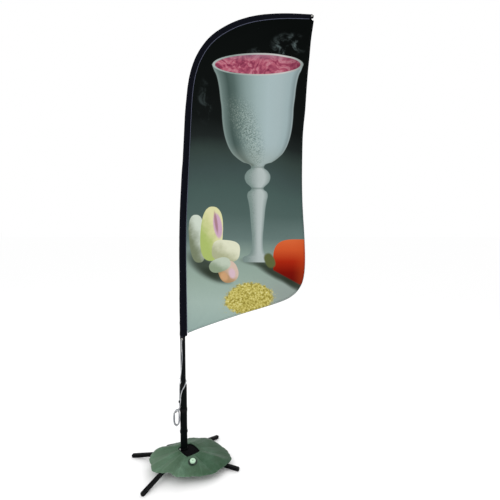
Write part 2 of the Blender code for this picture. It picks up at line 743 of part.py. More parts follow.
def build_hook():
    """A band clamped round the rotator tube, with a prong that the spare cord hangs on."""
    x, z = HOOK_AT
    turned("hook_band", [
        (ROTATOR_RADIUS + GAP, z - 0.010), (ROTATOR_RADIUS + 0.0018, z - 0.010),
        (ROTATOR_RADIUS + 0.0018, z + 0.010), (ROTATOR_RADIUS + GAP, z + 0.010),
    ], LOOKS["foot"], 32)
    route = spline([
        (-ROTATOR_RADIUS - 0.0018 - GAP, 0, z), (x + 0.004, 0, z), (x, -0.004, z), (x, -0.012, z),
        (x, -0.025, z), (x, -0.038, z), (x, -0.044, z + 0.001), (x, -0.048, z + 0.006),
    ], 3)
    rings = []
    for i, point in enumerate(route):
        ahead = route[min(i + 1, len(route) - 1)]
        behind = route[max(i - 1, 0)]
        tangent = (ahead - behind).normalized()
        if i == 0:
            tangent = Vector((-1, 0, 0))
        side = tangent.cross(Vector((0, 0, 1))).normalized()
        above = side.cross(tangent)
        rings.append([
            point + side * 0.003 * math.cos(math.tau * j / 12) + above * 0.003 * math.sin(math.tau * j / 12)
            for j in range(12)
        ])
    mark_flat_ends(loft("cord_hook", rings, LOOKS["foot"], False))


def build_toggle(points):
    """A barrel on the cord that holds its length."""
    near = min(range(len(points)), key=lambda i: abs(points[i].z - TOGGLE_HEIGHT) + 9 * (points[i].x > 0))
    centre = points[near]
    tangent = (points[near + 1] - points[near - 1]).normalized()
    turn = Vector((0, 0, 1)).rotation_difference(tangent).to_matrix().to_4x4()
    bore = CORD_RADIUS + 0.0006
    outer = CORD_RADIUS + TOGGLE_WALL
    turned("cord_toggle", [
        (bore, -0.007), (outer - 0.0006, -0.007), (outer, -0.0055), (outer, 0.0055),
        (outer - 0.0006, 0.007), (bore, 0.007),
    ], LOOKS["foot"], 20, Matrix.Translation(centre) @ turn)


# Water bag


def bar_top(distance, middle):
    """Height of the upper bar's sloping top face, carried on inwards, at this distance from the axis."""
    slope = (middle - FLOOR - BAR_END_HEIGHT) / (BAR_REACH - BAR_FLAT)
    return middle + BAR_SIDE / 2 * math.sqrt(1 + slope * slope) - slope * (distance - BAR_FLAT)


def bag_surface(angle, share, middle):
    """(x, y, bottom, top) of the bag at this angle round its centre and share of its width."""
    inner = BAG_HOLE * (1 + 0.04 * math.cos(4 * angle))
    outer = circular(BAG_RADII, angle)
    radius = inner + (outer - inner) * share
    x = BAG_CENTRE.x + radius * math.cos(angle)
    y = BAG_CENTRE.y + radius * math.sin(angle)
    slump = circular(BAG_SLUMP, angle) * share ** 2
    bottom = bar_top(math.hypot(x, y), middle) + BAG_CLEAR - slump
    bottom = max(bottom, FLOOR + 0.004)
    fill = math.sin(math.pi * min(1.0, share * 0.92 + 0.06)) ** 0.6
    thick = BAG_EDGE + (BAG_THICK - BAG_EDGE) * fill
    return x, y, bottom, bottom + thick


def build_bag(middle):
    """The bag, with its filler and handle. Middle is the height of the upper bar's raised part."""
    shares = (0.0, 0.06, 0.3, 0.55, 0.8, 0.95, 1.0)
    sides = 54
    rings = []
    for j in range(sides):
        angle = math.tau * j / sides
        top = []
        bottom = []
        for share in shares:
            x, y, low, high = bag_surface(angle, share, middle)
            round_off = 0.30 if share in (0.0, 1.0) else 0.0
            lift = (high - low) * round_off
            top.append((x, y, high - lift))
            bottom.append((x, y, low + lift))
        rings.append(top + bottom[::-1])
    loft("water_bag", rings, LOOKS["bag"])


def build_liner(middle):
    """A black cloth ring sewn in the bag's hole, which closes it round the spindle's flange."""
    sides = 54
    rings = []
    for j in range(sides):
        angle = math.tau * j / sides
        across = Vector((math.cos(angle), math.sin(angle)))
        start = across * LINER_RADIUS
        end = BAG_CENTRE + across * (BAG_HOLE * (1 + 0.04 * math.cos(4 * angle)) - GAP)
        top = []
        bottom = []
        for share in (0.0, 0.25, 0.5, 0.75, 1.0):
            spot = start.lerp(end, share)
            low = bar_top(max(spot.length, BAR_FLAT), middle) + BAG_CLEAR + LINER_RISE * share ** 2
            top.append((spot.x, spot.y, low + LINER_THICKNESS))
            bottom.append((spot.x, spot.y, low))
        rings.append(top + bottom[::-1])
    loft("hole_liner", rings, LOOKS["webbing"])


def build_valve(middle):
    """The filler: a welded flange, a neck with a seal round it and a screw cap."""
    offset = VALVE_AT - BAG_CENTRE
    angle = math.atan2(offset.y, offset.x)
    inner = BAG_HOLE
    outer = circular(BAG_RADII, angle)
    share = (offset.length - inner) / (outer - inner)
    _, _, _, height = bag_surface(angle, share, middle)
    _, _, _, further = bag_surface(angle, share + 0.15, middle)
    run = 0.15 * (outer - inner)
    lean = math.atan2(further - height, run)
    out = Vector((math.cos(angle), math.sin(angle), 0))
    axis = (Vector((0, 0, 1)) * math.cos(lean) - out * math.sin(lean)).normalized()
    centre = Vector((VALVE_AT.x, VALVE_AT.y, height)) + axis * 0.0012
    facing = Matrix.Translation(centre) @ Vector((0, 0, 1)).rotation_difference(axis).to_matrix().to_4x4()
    turned("valve_flange", [
        (0.0085, 0.0), (VALVE_RADIUS, 0.0), (VALVE_RADIUS, 0.0012), (VALVE_RADIUS - 0.0015, 0.0020),
        (0.0142, 0.0024), (0.0142, 0.0090), (0.0135, 0.0098), (0.0085, 0.0098),
    ], LOOKS["valve"], 24, facing)
    turned("cap_seal", tube_profile(0.0145, 0.0162, 0.0027, 0.0044), LOOKS["foot"], 24, facing)
    ribs = 20
    rings = []
    profile = (
        (0.0145, 0.0047, 0), (CAP_RADIUS, 0.0047, 1), (CAP_RADIUS, 0.0125, 1),
        (CAP_RADIUS - 0.0015, 0.0140, 0), (0.0030, 0.0140, 0),
    )
    for radius, height, ribbed in profile:
        ring = []
        for j in range(ribs * 2):
            turn = math.tau * j / (ribs * 2)
            reach = radius - (0.0007 if ribbed and j % 2 else 0.0)
            ring.append((reach * math.cos(turn), reach * math.sin(turn), height))
        rings.append(ring)
    for radius, height in ((0.0030, 0.0101), (0.0145, 0.0101)):
        rings.append(level_ring(radius, height, ribs * 2))
    mark_flat_ends(loft("filler_cap", rings, LOOKS["cap"], True, True, facing))
    return facing


def build_handle(middle):
    """A webbing carrying loop, stitched to the bag's back edge and lying flat."""
    rings = []
    for i in range(9):
        share = i / 8
        angle = math.radians(112 + 32 * share)
        bow = math.sin(math.pi * share)
        x, y, low, high = bag_surface(angle, 1.0, middle)
        spot = Vector((x, y, 0)) + Vector((math.cos(angle), math.sin(angle), 0)) * (0.0005 + 0.030 * bow)
        height = (low + high) / 2 + 0.002 * bow
        half = 0.0115 - 0.004 * bow
        wide = Vector((math.cos(angle), math.sin(angle), 0))
        rings.append([
            spot + Vector((0, 0, height - 0.0011)), spot + wide * 2 * half + Vector((0, 0, height - 0.0011)),
            spot + wide * 2 * half + Vector((0, 0, height + 0.0011)), spot + Vector((0, 0, height + 0.0011)),
        ])
    loft("bag_handle", rings, LOOKS["webbing"], False, False)


def hang_on(name, matrix, pieces):
    """An empty on a joint's axis, with the pieces that turn about it as its children."""
    axis = bpy.data.objects.new(name, None)
    bpy.context.scene.collection.objects.link(axis)
    axis.matrix_world = matrix
    for piece in pieces:
        child = bpy.data.objects[piece]
        child.parent = axis
        child.matrix_parent_inverse = matrix.inverted()


clear_scene()
LOOKS = {
    "bar": material("black powder coat", (0.020, 0.021, 0.024), 0.42, 0.0),
    "foot": material("black plastic", (0.012, 0.012, 0.014), 0.55),
    "steel": material("zinc plated steel", (0.55, 0.56, 0.58), 0.35, 1.0),
    "nylon": material("white nylon", (0.80, 0.80, 0.77), 0.5),
    "tube": material("black enamel", (0.014, 0.016, 0.016), 0.38),
    "pole": material("black anodised pole", (0.018, 0.019, 0.021), 0.35, 0.2),
    "rod": material("glass fibre rod", (0.03, 0.03, 0.03), 0.45),
    "sleeve": material("dark sleeve cloth", (0.012, 0.013, 0.022), 0.85),
    "print": material("printed polyester", (0.09, 0.13, 0.13), 0.75),
    "vinyl": material("black vinyl", (0.015, 0.015, 0.018), 0.5),
    "webbing": material("black webbing", (0.013, 0.013, 0.015), 0.9),
    "nickel": material("nickel eyelet", (0.72, 0.72, 0.70), 0.28, 1.0),
    "cord": material("white braided cord", (0.72, 0.73, 0.74), 0.8),
    "bag": material("green coated cloth", (0.080, 0.170, 0.100), 0.45),
    "valve": material("dark green plastic", (0.010, 0.030, 0.018), 0.4),
    "cap": material("pale mint plastic", (0.42, 0.62, 0.46), 0.4),
}
upper_bar_middle, spindle_level = build_base()
pole_foot, tube_high = build_spindle(spindle_level)
bent = pole_frames()
build_pole(bent, pole_foot)
build_flag(bent)
build_tip(bent)
tab_eye = build_tab()
build_hook()
cord_points = build_cord(tab_eye, tube_high)
build_toggle(cord_points)
build_bag(upper_bar_middle)
build_liner(upper_bar_middle)
cap_facing = build_valve(upper_bar_middle)
build_handle(upper_bar_middle)
hang_on("flag_swivel", Matrix.Translation((0, 0, 0.060)), (
    "lower_bush", "upper_bush", "thrust_plug", "rotator_tube", "rotator_collar", "lower_reducer",
    "upper_reducer", "pole_lower_section", "pole_middle_section", "pole_upper_section",
    "lower_joint_band", "upper_joint_band", "rod_ferrule", "flexible_tip_rod", "pole_tip_ball",
    "flag_sleeve", "flag_panel", "edge_hem", "tip_cap", "tip_rivet", "sleeve_tab", "tab_eyelet",
    "tension_cord", "cord_toggle", "hook_band", "cord_hook",
))
hang_on("base_fold", Matrix.Translation((0, 0, upper_bar_middle)), (
    "upper_bar", "upper_bar_foot_back", "upper_bar_foot_front",
))
hang_on("cap_turn", cap_facing, ("filler_cap",))
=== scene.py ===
import json
import math

import bmesh
import bpy
import numpy as np
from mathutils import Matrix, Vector, geometry, noise


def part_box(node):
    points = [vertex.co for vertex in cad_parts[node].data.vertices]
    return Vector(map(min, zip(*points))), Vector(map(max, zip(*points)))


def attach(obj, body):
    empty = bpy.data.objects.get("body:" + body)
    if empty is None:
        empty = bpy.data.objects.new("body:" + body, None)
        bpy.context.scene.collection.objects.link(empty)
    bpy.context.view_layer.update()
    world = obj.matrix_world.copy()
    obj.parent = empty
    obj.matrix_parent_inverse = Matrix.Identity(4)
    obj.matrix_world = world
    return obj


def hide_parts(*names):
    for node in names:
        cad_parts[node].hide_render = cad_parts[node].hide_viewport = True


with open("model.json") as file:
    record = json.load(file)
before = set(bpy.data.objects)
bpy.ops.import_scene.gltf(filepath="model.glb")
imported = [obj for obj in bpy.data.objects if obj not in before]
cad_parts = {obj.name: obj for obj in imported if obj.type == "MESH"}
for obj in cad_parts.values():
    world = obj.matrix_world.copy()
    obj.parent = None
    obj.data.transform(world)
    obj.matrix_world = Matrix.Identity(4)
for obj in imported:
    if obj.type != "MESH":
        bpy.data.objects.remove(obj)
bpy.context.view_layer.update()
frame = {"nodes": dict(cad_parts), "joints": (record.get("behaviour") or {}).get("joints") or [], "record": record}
NODES = frame["nodes"]
JOINTS = {joint["name"]: joint for joint in frame["joints"]}

CAMERA_AT = (0.4232, -2.46, 1.5025)
CAMERA_TILT = math.radians(86)
CAMERA_LENS = 28.66
FLOOR = -0.0475
FLOOR_REACH = 40
GAP = 0.0003
CLOTH = 0.0008
POLE_RADII = (0.0160, 0.0137, 0.0112)
LOWER_SECTION_TOP = 1.000
MIDDLE_SECTION_TOP = 1.760
ROTATOR_RADIUS = 0.022
TUBE_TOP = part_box("upper_reducer")[1].z
SLEEVE_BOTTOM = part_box("flag_sleeve")[0].z
POLE_LINE = (
    (0.000, 0.850), (0.000, 1.250), (0.003, 1.450), (0.009, 1.600), (0.018, 1.750),
    (0.026, 1.880), (0.034, 2.010), (0.042, 2.140), (0.049, 2.240), (0.060, 2.330),
    (0.078, 2.410), (0.106, 2.482), (0.146, 2.548), (0.200, 2.606), (0.268, 2.652),
    (0.350, 2.690), (0.445, 2.716), (0.545, 2.728), (0.650, 2.731), (0.770, 2.726),
)
FREE_EDGE = (
    (0.033, 0.808), (0.122, 0.842), (0.254, 0.889), (0.392, 0.935), (0.500, 0.968),
    (0.590, 0.998), (0.660, 1.027), (0.707, 1.062), (0.738, 1.105), (0.755, 1.152),
    (0.763, 1.215), (0.764, 1.300), (0.757, 1.440), (0.750, 1.540), (0.744, 1.640),
    (0.741, 1.785), (0.742, 1.975), (0.747, 2.075), (0.756, 2.170), (0.763, 2.285),
    (0.771, 2.400), (0.780, 2.500), (0.789, 2.600), (0.799, 2.668), (0.803, 2.700),
)
PANEL_SPACING = 0.0085
HEM_WIDTH = 0.011
HEM_HALF = 0.0009
HEM_STITCH_INSET = 0.0085
SLEEVE_SLACK = 0.0012
SEAM_REACH = 0.0275
SEAM_HALF = CLOTH * 1.2
TAB_HOLE = (-0.003, -0.016, 0.0071)
BAG_CENTRE = Vector((0.034, -0.016))
BAG_HOLE_REACH = 0.0690
BAG_RADII = (
    0.268, 0.255, 0.236, 0.237, 0.212, 0.202, 0.200, 0.206, 0.220,
    0.248, 0.240, 0.242, 0.198, 0.207, 0.194, 0.206, 0.227, 0.240,
)
BAG_SLUMP = (
    0.000, 0.000, 0.000, 0.000, 0.000, 0.000, 0.036, 0.026, 0.000,
    0.000, 0.000, 0.000, 0.000, 0.000, 0.006, 0.006, 0.003, 0.000,
)
BAG_CLEAR = 0.0010
BAG_RIM = 0.0014
BAG_FOLDS = (
    (4, -0.0040), (30, -0.0070), (56, 0.0060), (96, -0.0060), (128, 0.0050),
    (150, -0.0050), (172, 0.0070), (190, -0.0060), (208, 0.0080), (219, -0.0060),
    (233, 0.0090), (246, -0.0090), (262, 0.0090), (275, -0.0060), (290, 0.0010),
    (303, 0.0100), (318, -0.0090), (332, 0.0040), (348, 0.0095), (364, -0.0040),
)
VALVE_FLAT = 0.031
VALVE_BLEND = 0.060
BAR_SIDE = 0.020
BAR_REACH = 0.348
BAR_FLAT = 0.042
BAR_END_HEIGHT = 0.0114
UPPER_BAR_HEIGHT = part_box("upper_bar")[1].z - BAR_SIDE / 2
CAP_AXIS = (Vector(JOINTS["cap_turn"]["pos_m"]), Vector(JOINTS["cap_turn"]["axis"]))
CORD_RADIUS = 0.0025
CORD_LIFT = 0.0007
CORD_STEP = 0.0016
HOOK_AT = (-0.041, 0.312)
HANK_HALF = (0.017, 0.052)
HANK_POINTS = 31
TOGGLE_HEIGHT = 0.370
TOGGLE_WALL = 0.0024
LEG_TURNS = tuple(math.radians(a) for a in (-11.8, 58.2, 168.2, 238.2))


# Shader graphs


def srgb(red, green, blue):
    """A linear colour from an ordinary 0 to 255 one."""
    made = []
    for value in (red, green, blue):
        share = value / 255
        made.append(share / 12.92 if share <= 0.04045 else ((share + 0.055) / 1.055) ** 2.4)
    return (*made, 1.0)


class Field:
    """A number that varies over a surface, with the usual operators."""

    def __init__(self, graph, socket):
        self.graph = graph
        self.socket = socket

    def __add__(self, other):
        return self.graph.math("ADD", self, other)

    def __sub__(self, other):
        return self.graph.math("SUBTRACT", self, other)

    def __rsub__(self, other):
        return self.graph.math("SUBTRACT", other, self)

    def __mul__(self, other):
        return self.graph.math("MULTIPLY", self, other)

    def __truediv__(self, other):
        return self.graph.math("DIVIDE", self, other)

    def __pow__(self, power):
        return self.graph.math("POWER", self, power)

    def __abs__(self):
        return self.graph.math("ABSOLUTE", self)


class Graph:
    """A material with short ways to add nodes to it."""

    def __init__(self, name, colour=(0.5, 0.5, 0.5, 1), roughness=0.5, metallic=0.0, specular=0.3):
        self.material = bpy.data.materials.new(name)
        self.material.use_nodes = True
        self.tree = self.material.node_tree
        self.shader = self.tree.nodes["Principled BSDF"]
        self.set("Base Color", colour)
        self.set("Roughness", roughness)
        self.set("Metallic", metallic)
        self.set("Specular IOR Level", specular)
        self.material.diffuse_color = colour
        self._place = None

    def set(self, socket, value):
        self.put(self.shader.inputs[socket], value)

    def put(self, socket, value):
        """Links a field or a socket, or sets a number or a colour, given as three 0 to 255 values."""
        if isinstance(value, Field):
            self.tree.links.new(value.socket, socket)
        elif isinstance(value, bpy.types.NodeSocket):
            self.tree.links.new(value, socket)
        elif isinstance(value, tuple) and len(value) == 3:
            socket.default_value = srgb(*value)
        else:
            socket.default_value = value

    def node(self, kind, inputs=(), **settings):
        made = self.tree.nodes.new(kind)
        for key, value in settings.items():
            setattr(made, key, value)
        for key, value in dict(inputs).items():
            self.put(made.inputs[key], value)
        return made

    def math(self, operation, *values):
        made = self.node("ShaderNodeMath", operation=operation)
        for socket, value in zip(made.inputs, values):
            self.put(socket, value)
        return Field(self, made.outputs[0])

    def most(self, a, b):
        return self.math("MAXIMUM", a, b)

    def sine(self, a):
        return self.math("SINE", a)

    def step(self, low, high, field):
        """0 below low, 1 above high and smooth between; low may be the larger of the two."""
        made = self.node("ShaderNodeMapRange", interpolation_type="SMOOTHSTEP")
        if low < high:
            ends = (low, high, 0.0, 1.0)
        else:
            ends = (high, low, 1.0, 0.0)
        self.put(made.inputs["Value"], field)
        for key, value in zip(("From Min", "From Max", "To Min", "To Max"), ends):
            made.inputs[key].default_value = value
        return Field(self, made.outputs["Result"])

    def place(self):
        """(x, y, z) of the surface in the object's own space, in metres."""
        if self._place is None:
            where = self.node("ShaderNodeTexCoord")
            parts = self.node("ShaderNodeSeparateXYZ", {"Vector": where.outputs["Object"]})
            self._place = (where.outputs["Object"], *(Field(self, s) for s in parts.outputs))
        return self._place[1:]

    def noise(self, scale, detail=2.0, rough=0.5, distortion=0.0):
        self.place()
        made = self.node("ShaderNodeTexNoise", {
            "Vector": self._place[0], "Scale": scale, "Detail": detail,
            "Roughness": rough, "Distortion": distortion,
        })
        return Field(self, made.outputs[0])

    def cells(self, scale):
        """Distance to the nearest of many scattered points."""
        self.place()
        made = self.node("ShaderNodeTexVoronoi", {"Vector": self._place[0], "Scale": scale})
        return Field(self, made.outputs["Distance"])

    def share(self, field, low, high):
        """The node that turns low to high into 0 to 1."""
        made = self.node("ShaderNodeMapRange", {"Value": field})
        made.inputs["From Min"].default_value = low
        made.inputs["From Max"].default_value = high
        return made.outputs["Result"]

    def ramp(self, field, stops, low=0.0, high=1.0):
        """A colour from (value, red, green, blue) stops between low and high."""
        made = self.node("ShaderNodeValToRGB", {"Fac": self.share(field, low, high)})
        band = made.color_ramp.elements
        for element, (value, *colour) in ((band[0], stops[0]), (band[1], stops[-1])):
            element.position = (value - low) / (high - low)
            element.color = srgb(*colour)
        for value, *colour in stops[1:-1]:
            band.new((value - low) / (high - low)).color = srgb(*colour)
        return made.outputs["Color"]

    def curve(self, field, points, low, high, top):
        """A smooth curve through (position, value) points, with values from 0 to top."""
        made = self.node("ShaderNodeFloatCurve", {"Value": self.share(field, low, high)})
        line = made.mapping.curves[0]
        spots = sorted(((p - low) / (high - low), v / top) for p, v in points)
        line.points[0].location = spots[0]
        line.points[1].location = spots[-1]
        for spot in spots[1:-1]:
            line.points.new(*spot)
        made.mapping.update()
        return Field(self, made.outputs[0]) * top

    def mix(self, share, first, second):
        made = self.node("ShaderNodeMix", data_type="RGBA")
        self.put(made.inputs["Factor"], share)
        self.put(made.inputs[6], first)
        self.put(made.inputs[7], second)
        return made.outputs[2]

    def bump(self, height, distance, strength=1.0):
        made = self.node("ShaderNodeBump", {
            "Height": height, "Distance": distance, "Strength": strength,
        })
        self.put(self.shader.inputs["Normal"], made.outputs["Normal"])


def painted(name, colour, worn, roughness, grain=900.0, specular=0.3):
    """Coated metal or moulded plastic: an orange-peel skin, faint dust and rubbed spots."""
    g = Graph(name, roughness=roughness, specular=specular)
    rubbed = g.step(0.60, 0.78, g.noise(14, 6, 0.65))
    fine = g.noise(grain, 2)
    g.set("Base Color", g.mix(rubbed * 0.55, g.mix(fine * 0.35, colour, worn), worn))
    g.set("Roughness", rubbed * 0.14 + fine * 0.10 + (roughness - 0.07))
    g.bump(fine * 0.6 + g.noise(grain * 0.2, 3) * 0.4, 0.0002, 0.35)
    return g.material


def metal(name, colour, roughness, tarnish):
    """Plated metal, brushed and clouded with tarnish."""
    g = Graph(name, metallic=1.0, specular=0.5)
    cloud = g.noise(60, 5, 0.6)
    brushed = g.noise(700, 2)
    g.set("Base Color", g.mix(g.step(0.45, 0.75, cloud) * 0.6, colour, tarnish))
    g.set("Roughness", cloud * 0.25 + brushed * 0.08 + (roughness - 0.15))
    g.bump(brushed, 0.0001, 0.3)
    return g.material


def woven(name, colour, thread, pitch, roughness=0.85, sheen=0.0):
    """Plain weave: two sets of threads over and under each other."""
    g = Graph(name, roughness=roughness, specular=0.05)
    x, y, z = g.place()
    turns = math.tau / pitch
    weave = g.sine((x + y) * turns) * g.sine(z * turns)
    fuzz = g.noise(500, 3)
    patch = g.noise(9, 4, 0.6)
    g.set("Base Color", g.mix(weave * 0.25 + fuzz * 0.35 + patch * 0.15, colour, thread))
    g.set("Roughness", patch * 0.12 + (roughness - 0.06))
    if sheen:
        g.shader.inputs["Sheen Weight"].default_value = sheen
        g.shader.inputs["Sheen Roughness"].default_value = 0.5
    g.bump(weave * 0.6 + fuzz * 0.4, pitch * 0.25, 0.5)
    return g.material


def print_material():
    """The picture on the flag: a frosted goblet with sweets and a crumb heap on a pale table."""
    g = Graph("printed_polyester", roughness=0.8, specular=0.03)
    x, _, z = g.place()
    soft = g.noise(6, 3)
    lean = g.step(0.45, 0.76, x) * 0.11 * g.step(1.45, 1.75, z)
    height = z + lean + (soft - 0.5) * 0.05
    picture = g.ramp(height, (
        (0.80, 150, 172, 166), (1.00, 163, 183, 174), (1.16, 150, 170, 158),
        (1.28, 140, 160, 150), (1.40, 100, 120, 116), (1.55, 78, 98, 94),
        (1.70, 71, 91, 87), (1.82, 63, 79, 77), (1.94, 52, 65, 61),
        (2.03, 30, 36, 35), (2.14, 15, 19, 18), (2.30, 10, 14, 13),
        (2.75, 4, 7, 6),
    ), 0.80, 2.75)
    table_right = g.step(0.35, 0.65, x) * g.step(1.24, 1.05, z)
    picture = g.mix(table_right * 0.7, picture, (140, 148, 144))

    def blob(cx, cz, a, b, tilt=0.0, power=2.0, wobble=0.0):
        """1 at the middle of a rounded shape, 0 on its outline and below 0 outside."""
        c, s = math.cos(math.radians(tilt)), math.sin(math.radians(tilt))
        dx, dz = x - cx, z - cz
        along = abs((dx * c + dz * s) / a)
        over = abs((dz * c - dx * s) / b)
        inside = 1.0 - (along ** power + over ** power)
        return inside + (g.noise(28, 3) - 0.5) * wobble if wobble else inside

    def paint(mask, colour, low=0.0, high=0.08):
        return g.mix(g.step(low, high, mask), picture, colour)

    # Shadows on the table
    for cx, cz, a, b, tilt, dark in (
        (0.150, 1.225, 0.130, 0.055, -36, 0.90), (0.215, 1.170, 0.090, 0.030, -25, 0.75),
        (0.500, 1.250, 0.120, 0.025, -8, 0.65), (0.590, 1.185, 0.140, 0.032, -28, 0.95),
        (0.700, 1.120, 0.080, 0.030, -30, 0.90),
    ):
        shade = g.step(-0.9, 0.9, blob(cx, cz, a, b, tilt)) * dark
        picture = g.mix(shade, picture, (42, 50, 38))
    # Smoke
    curl = g.noise(9, 6, 0.62, distortion=1.6)
    for cx, cz, a, b, amount in (
        (0.655, 2.560, 0.095, 0.065, 0.75), (0.560, 2.520, 0.130, 0.030, 0.55),
        (0.150, 2.230, 0.045, 0.120, 0.22),
    ):
        haze = g.step(-0.6, 1.0, blob(cx, cz, a, b)) * g.step(0.47, 0.72, curl) * amount
        picture = g.mix(haze, picture, (112, 128, 128))

    # Goblet
    profile = (
        (2.450, 0.274), (2.414, 0.2618), (2.380, 0.2459), (2.3165, 0.2319), (2.2524, 0.2245),
        (2.1886, 0.2165), (2.1241, 0.2132), (2.0598, 0.2057), (1.9954, 0.1903), (1.9301, 0.1602),
        (1.8976, 0.1305), (1.8651, 0.0854), (1.8416, 0.0397), (1.8326, 0.0397), (1.8205, 0.0538),
        (1.8024, 0.0697), (1.7782, 0.0783), (1.7539, 0.0734), (1.7357, 0.0612), (1.7175, 0.0417),
        (1.7084, 0.0368), (1.6993, 0.0405), (1.6847, 0.0577), (1.6664, 0.0626), (1.6328, 0.0565),
        (1.5882, 0.0486), (1.5287, 0.0432), (1.4697, 0.0383), (1.3943, 0.0334), (1.3305, 0.0384),
        (1.2994, 0.0559), (1.2807, 0.0899), (1.2620, 0.0880), (1.2496, 0.0600),
    )
    half = g.curve(z, profile, 1.2496, 2.450, 0.30)
    across = x - 0.4690
    side = across / g.most(half, 0.001)
    glass = g.step(-0.003, 0.003, half - abs(across))
    glass = glass * g.step(1.252, 1.256, z) * g.step(2.452, 2.446, z)
    bowl = g.ramp(side, (
        (-1.0, 132, 150, 146), (-0.93, 104, 122, 118), (-0.76, 68, 86, 82),
        (-0.60, 84, 103, 99), (-0.46, 112, 132, 129), (-0.30, 134, 154, 152),
        (-0.02, 156, 176, 176), (0.28, 167, 186, 188), (0.60, 165, 183, 185),
        (0.84, 156, 175, 177), (0.95, 130, 146, 148), (1.0, 160, 176, 176),
    ), -1.0, 1.0)
    frost_line = side + (z - 1.90) * 1.4 + 0.05
    frost = g.step(0.55, 0.05, abs(frost_line)) * g.step(2.30, 2.12, z)
    grain = g.noise(150, 3, 0.7)
    bowl = g.mix(frost * g.step(0.46, 0.66, grain) * 0.6, bowl, (178, 192, 182))
    bowl = g.mix(frost * g.step(0.54, 0.36, grain) * 0.75, bowl, (82, 100, 92))
    bowl = g.mix(g.step(1.99, 1.86, z) * 0.35, bowl, (150, 160, 150))
    stem = g.ramp(side, (
        (-1.0, 120, 138, 134), (-0.72, 128, 146, 141), (-0.35, 152, 165, 162),
        (0.10, 176, 187, 185), (0.55, 180, 191, 189), (1.0, 134, 150, 147),
    ), -1.0, 1.0)
    seams = g.step(0.010, 0.0, abs(z - 1.8370)) + g.step(0.010, 0.0, abs(z - 1.7084))
    stem = g.mix(seams * 0.55, stem, (96, 114, 108))
    stem = g.mix(g.step(0.52, 0.66, grain) * g.step(0.0, -0.6, side) * 0.6, stem, (110, 128, 122))
    vessel = g.mix(g.step(1.846, 1.840, z), bowl, stem)
    picture = g.mix(glass, picture, vessel)
    # Rim and drink
    rim = blob(0.4706, 2.4457, 0.2742, 0.0664)
    rim_colour = g.ramp(x, (
        (0.20, 172, 182, 180), (0.32, 140, 154, 149), (0.47, 182, 184, 182),
        (0.63, 200, 198, 196), (0.745, 138, 150, 146),
    ), 0.19, 0.75)
    picture = paint(rim, rim_colour, 0.0, 0.03)
    swirl = g.noise(13, 4, 0.55, distortion=2.4)
    drink = g.ramp(swirl, (
        (0.30, 104, 36, 58), (0.43, 146, 62, 88), (0.52, 178, 92, 112),
        (0.62, 196, 130, 144), (0.74, 152, 60, 86),
    ))
    drink = g.mix(g.step(2.46, 2.50, z) * 0.5, drink, (140, 116, 134))
    drink = g.mix(g.step(0.60, 0.72, x) * 0.55, drink, (104, 40, 62))
    picture = paint(blob(0.4694, 2.4450, 0.2590, 0.0575), drink, 0.0, 0.04)

    # Fruit, cut off by the flag's edge
    fruit = g.ramp(z, (
        (1.11, 96, 12, 8), (1.19, 120, 15, 5), (1.26, 168, 38, 14),
        (1.33, 205, 84, 42), (1.39, 214, 100, 54),
    ), 1.10, 1.40)
    fruit = g.mix(g.step(0.68, 0.77, x) * 0.4, fruit, (196, 78, 34))
    body = blob(0.715, 1.2558, 0.150, 0.142, 0, 3.2)
    above = z - 1.199 + (x - 0.5687) * 0.549
    picture = g.mix(g.step(0.0, 0.05, body) * g.step(0.0, 0.012, above), picture, fruit)
    picture = paint(blob(0.545, 1.265, 0.035, 0.055, 25, 2.4), (92, 100, 60), 0.0, 0.6)

    # Sweets
    sweets = (
        (0.098, 1.400, 0.052, 0.150, 4, 2.6, (206, 216, 202), (120, 130, 104)),
        (0.186, 1.430, 0.070, 0.170, -4, 2.5, (220, 218, 168), (170, 188, 108)),
        (0.274, 1.325, 0.088, 0.068, -6, 3.0, (222, 224, 198), (172, 176, 142)),
        (0.288, 1.195, 0.062, 0.070, 18, 2.4, (212, 188, 172), (176, 140, 100)),
        (0.236, 1.237, 0.070, 0.044, 20, 2.3, (190, 202, 184), (140, 156, 130)),
    )
    puff = g.noise(26, 3)
    for cx, cz, a, b, tilt, power, light, dark in sweets:
        shape = blob(cx, cz, a, b, tilt, power, 0.10)
        lit = (z - cz) / (2.4 * b) + (x - cx) / (3.0 * a) + (puff - 0.5) * 0.5 + 0.45
        picture = g.mix(g.step(0.0, 0.07, shape), picture, g.mix(g.step(0.1, 0.75, lit), dark, light))
    for cx, cz, a, b, tilt, blur, colour in (
        (0.224, 1.480, 0.030, 0.088, 8, 0.5, (204, 168, 192)),
        (0.214, 1.500, 0.012, 0.085, 8, 0.9, (168, 128, 138)),
        (0.312, 1.185, 0.026, 0.040, 10, 0.8, (214, 186, 196)),
        (0.262, 1.165, 0.028, 0.036, 30, 0.8, (204, 160, 118)),
    ):
        picture = paint(blob(cx, cz, a, b, tilt), colour, 0.0, blur)

    # Crumbs
    crumb = g.cells(95)
    shade_of = g.noise(70, 3, 0.6)
    heap = blob(0.418, 1.025, 0.165, 0.108, 8, 1.8) + (g.noise(48, 3, 0.6) - 0.5) * 0.9
    heap_colour = g.ramp(shade_of + (0.35 - crumb) * 0.5, (
        (0.24, 150, 138, 60), (0.42, 192, 180, 94), (0.58, 212, 202, 122),
        (0.78, 232, 226, 176),
    ))
    loose = g.step(-1.3, 0.2, blob(0.415, 1.02, 0.150, 0.095, 8)) * g.step(0.32, 0.22, crumb)
    picture = g.mix(loose * g.step(0.50, 0.62, g.noise(40, 2)), picture, (182, 176, 108))
    picture = g.mix(g.step(-0.05, 0.25, heap), picture, heap_colour)

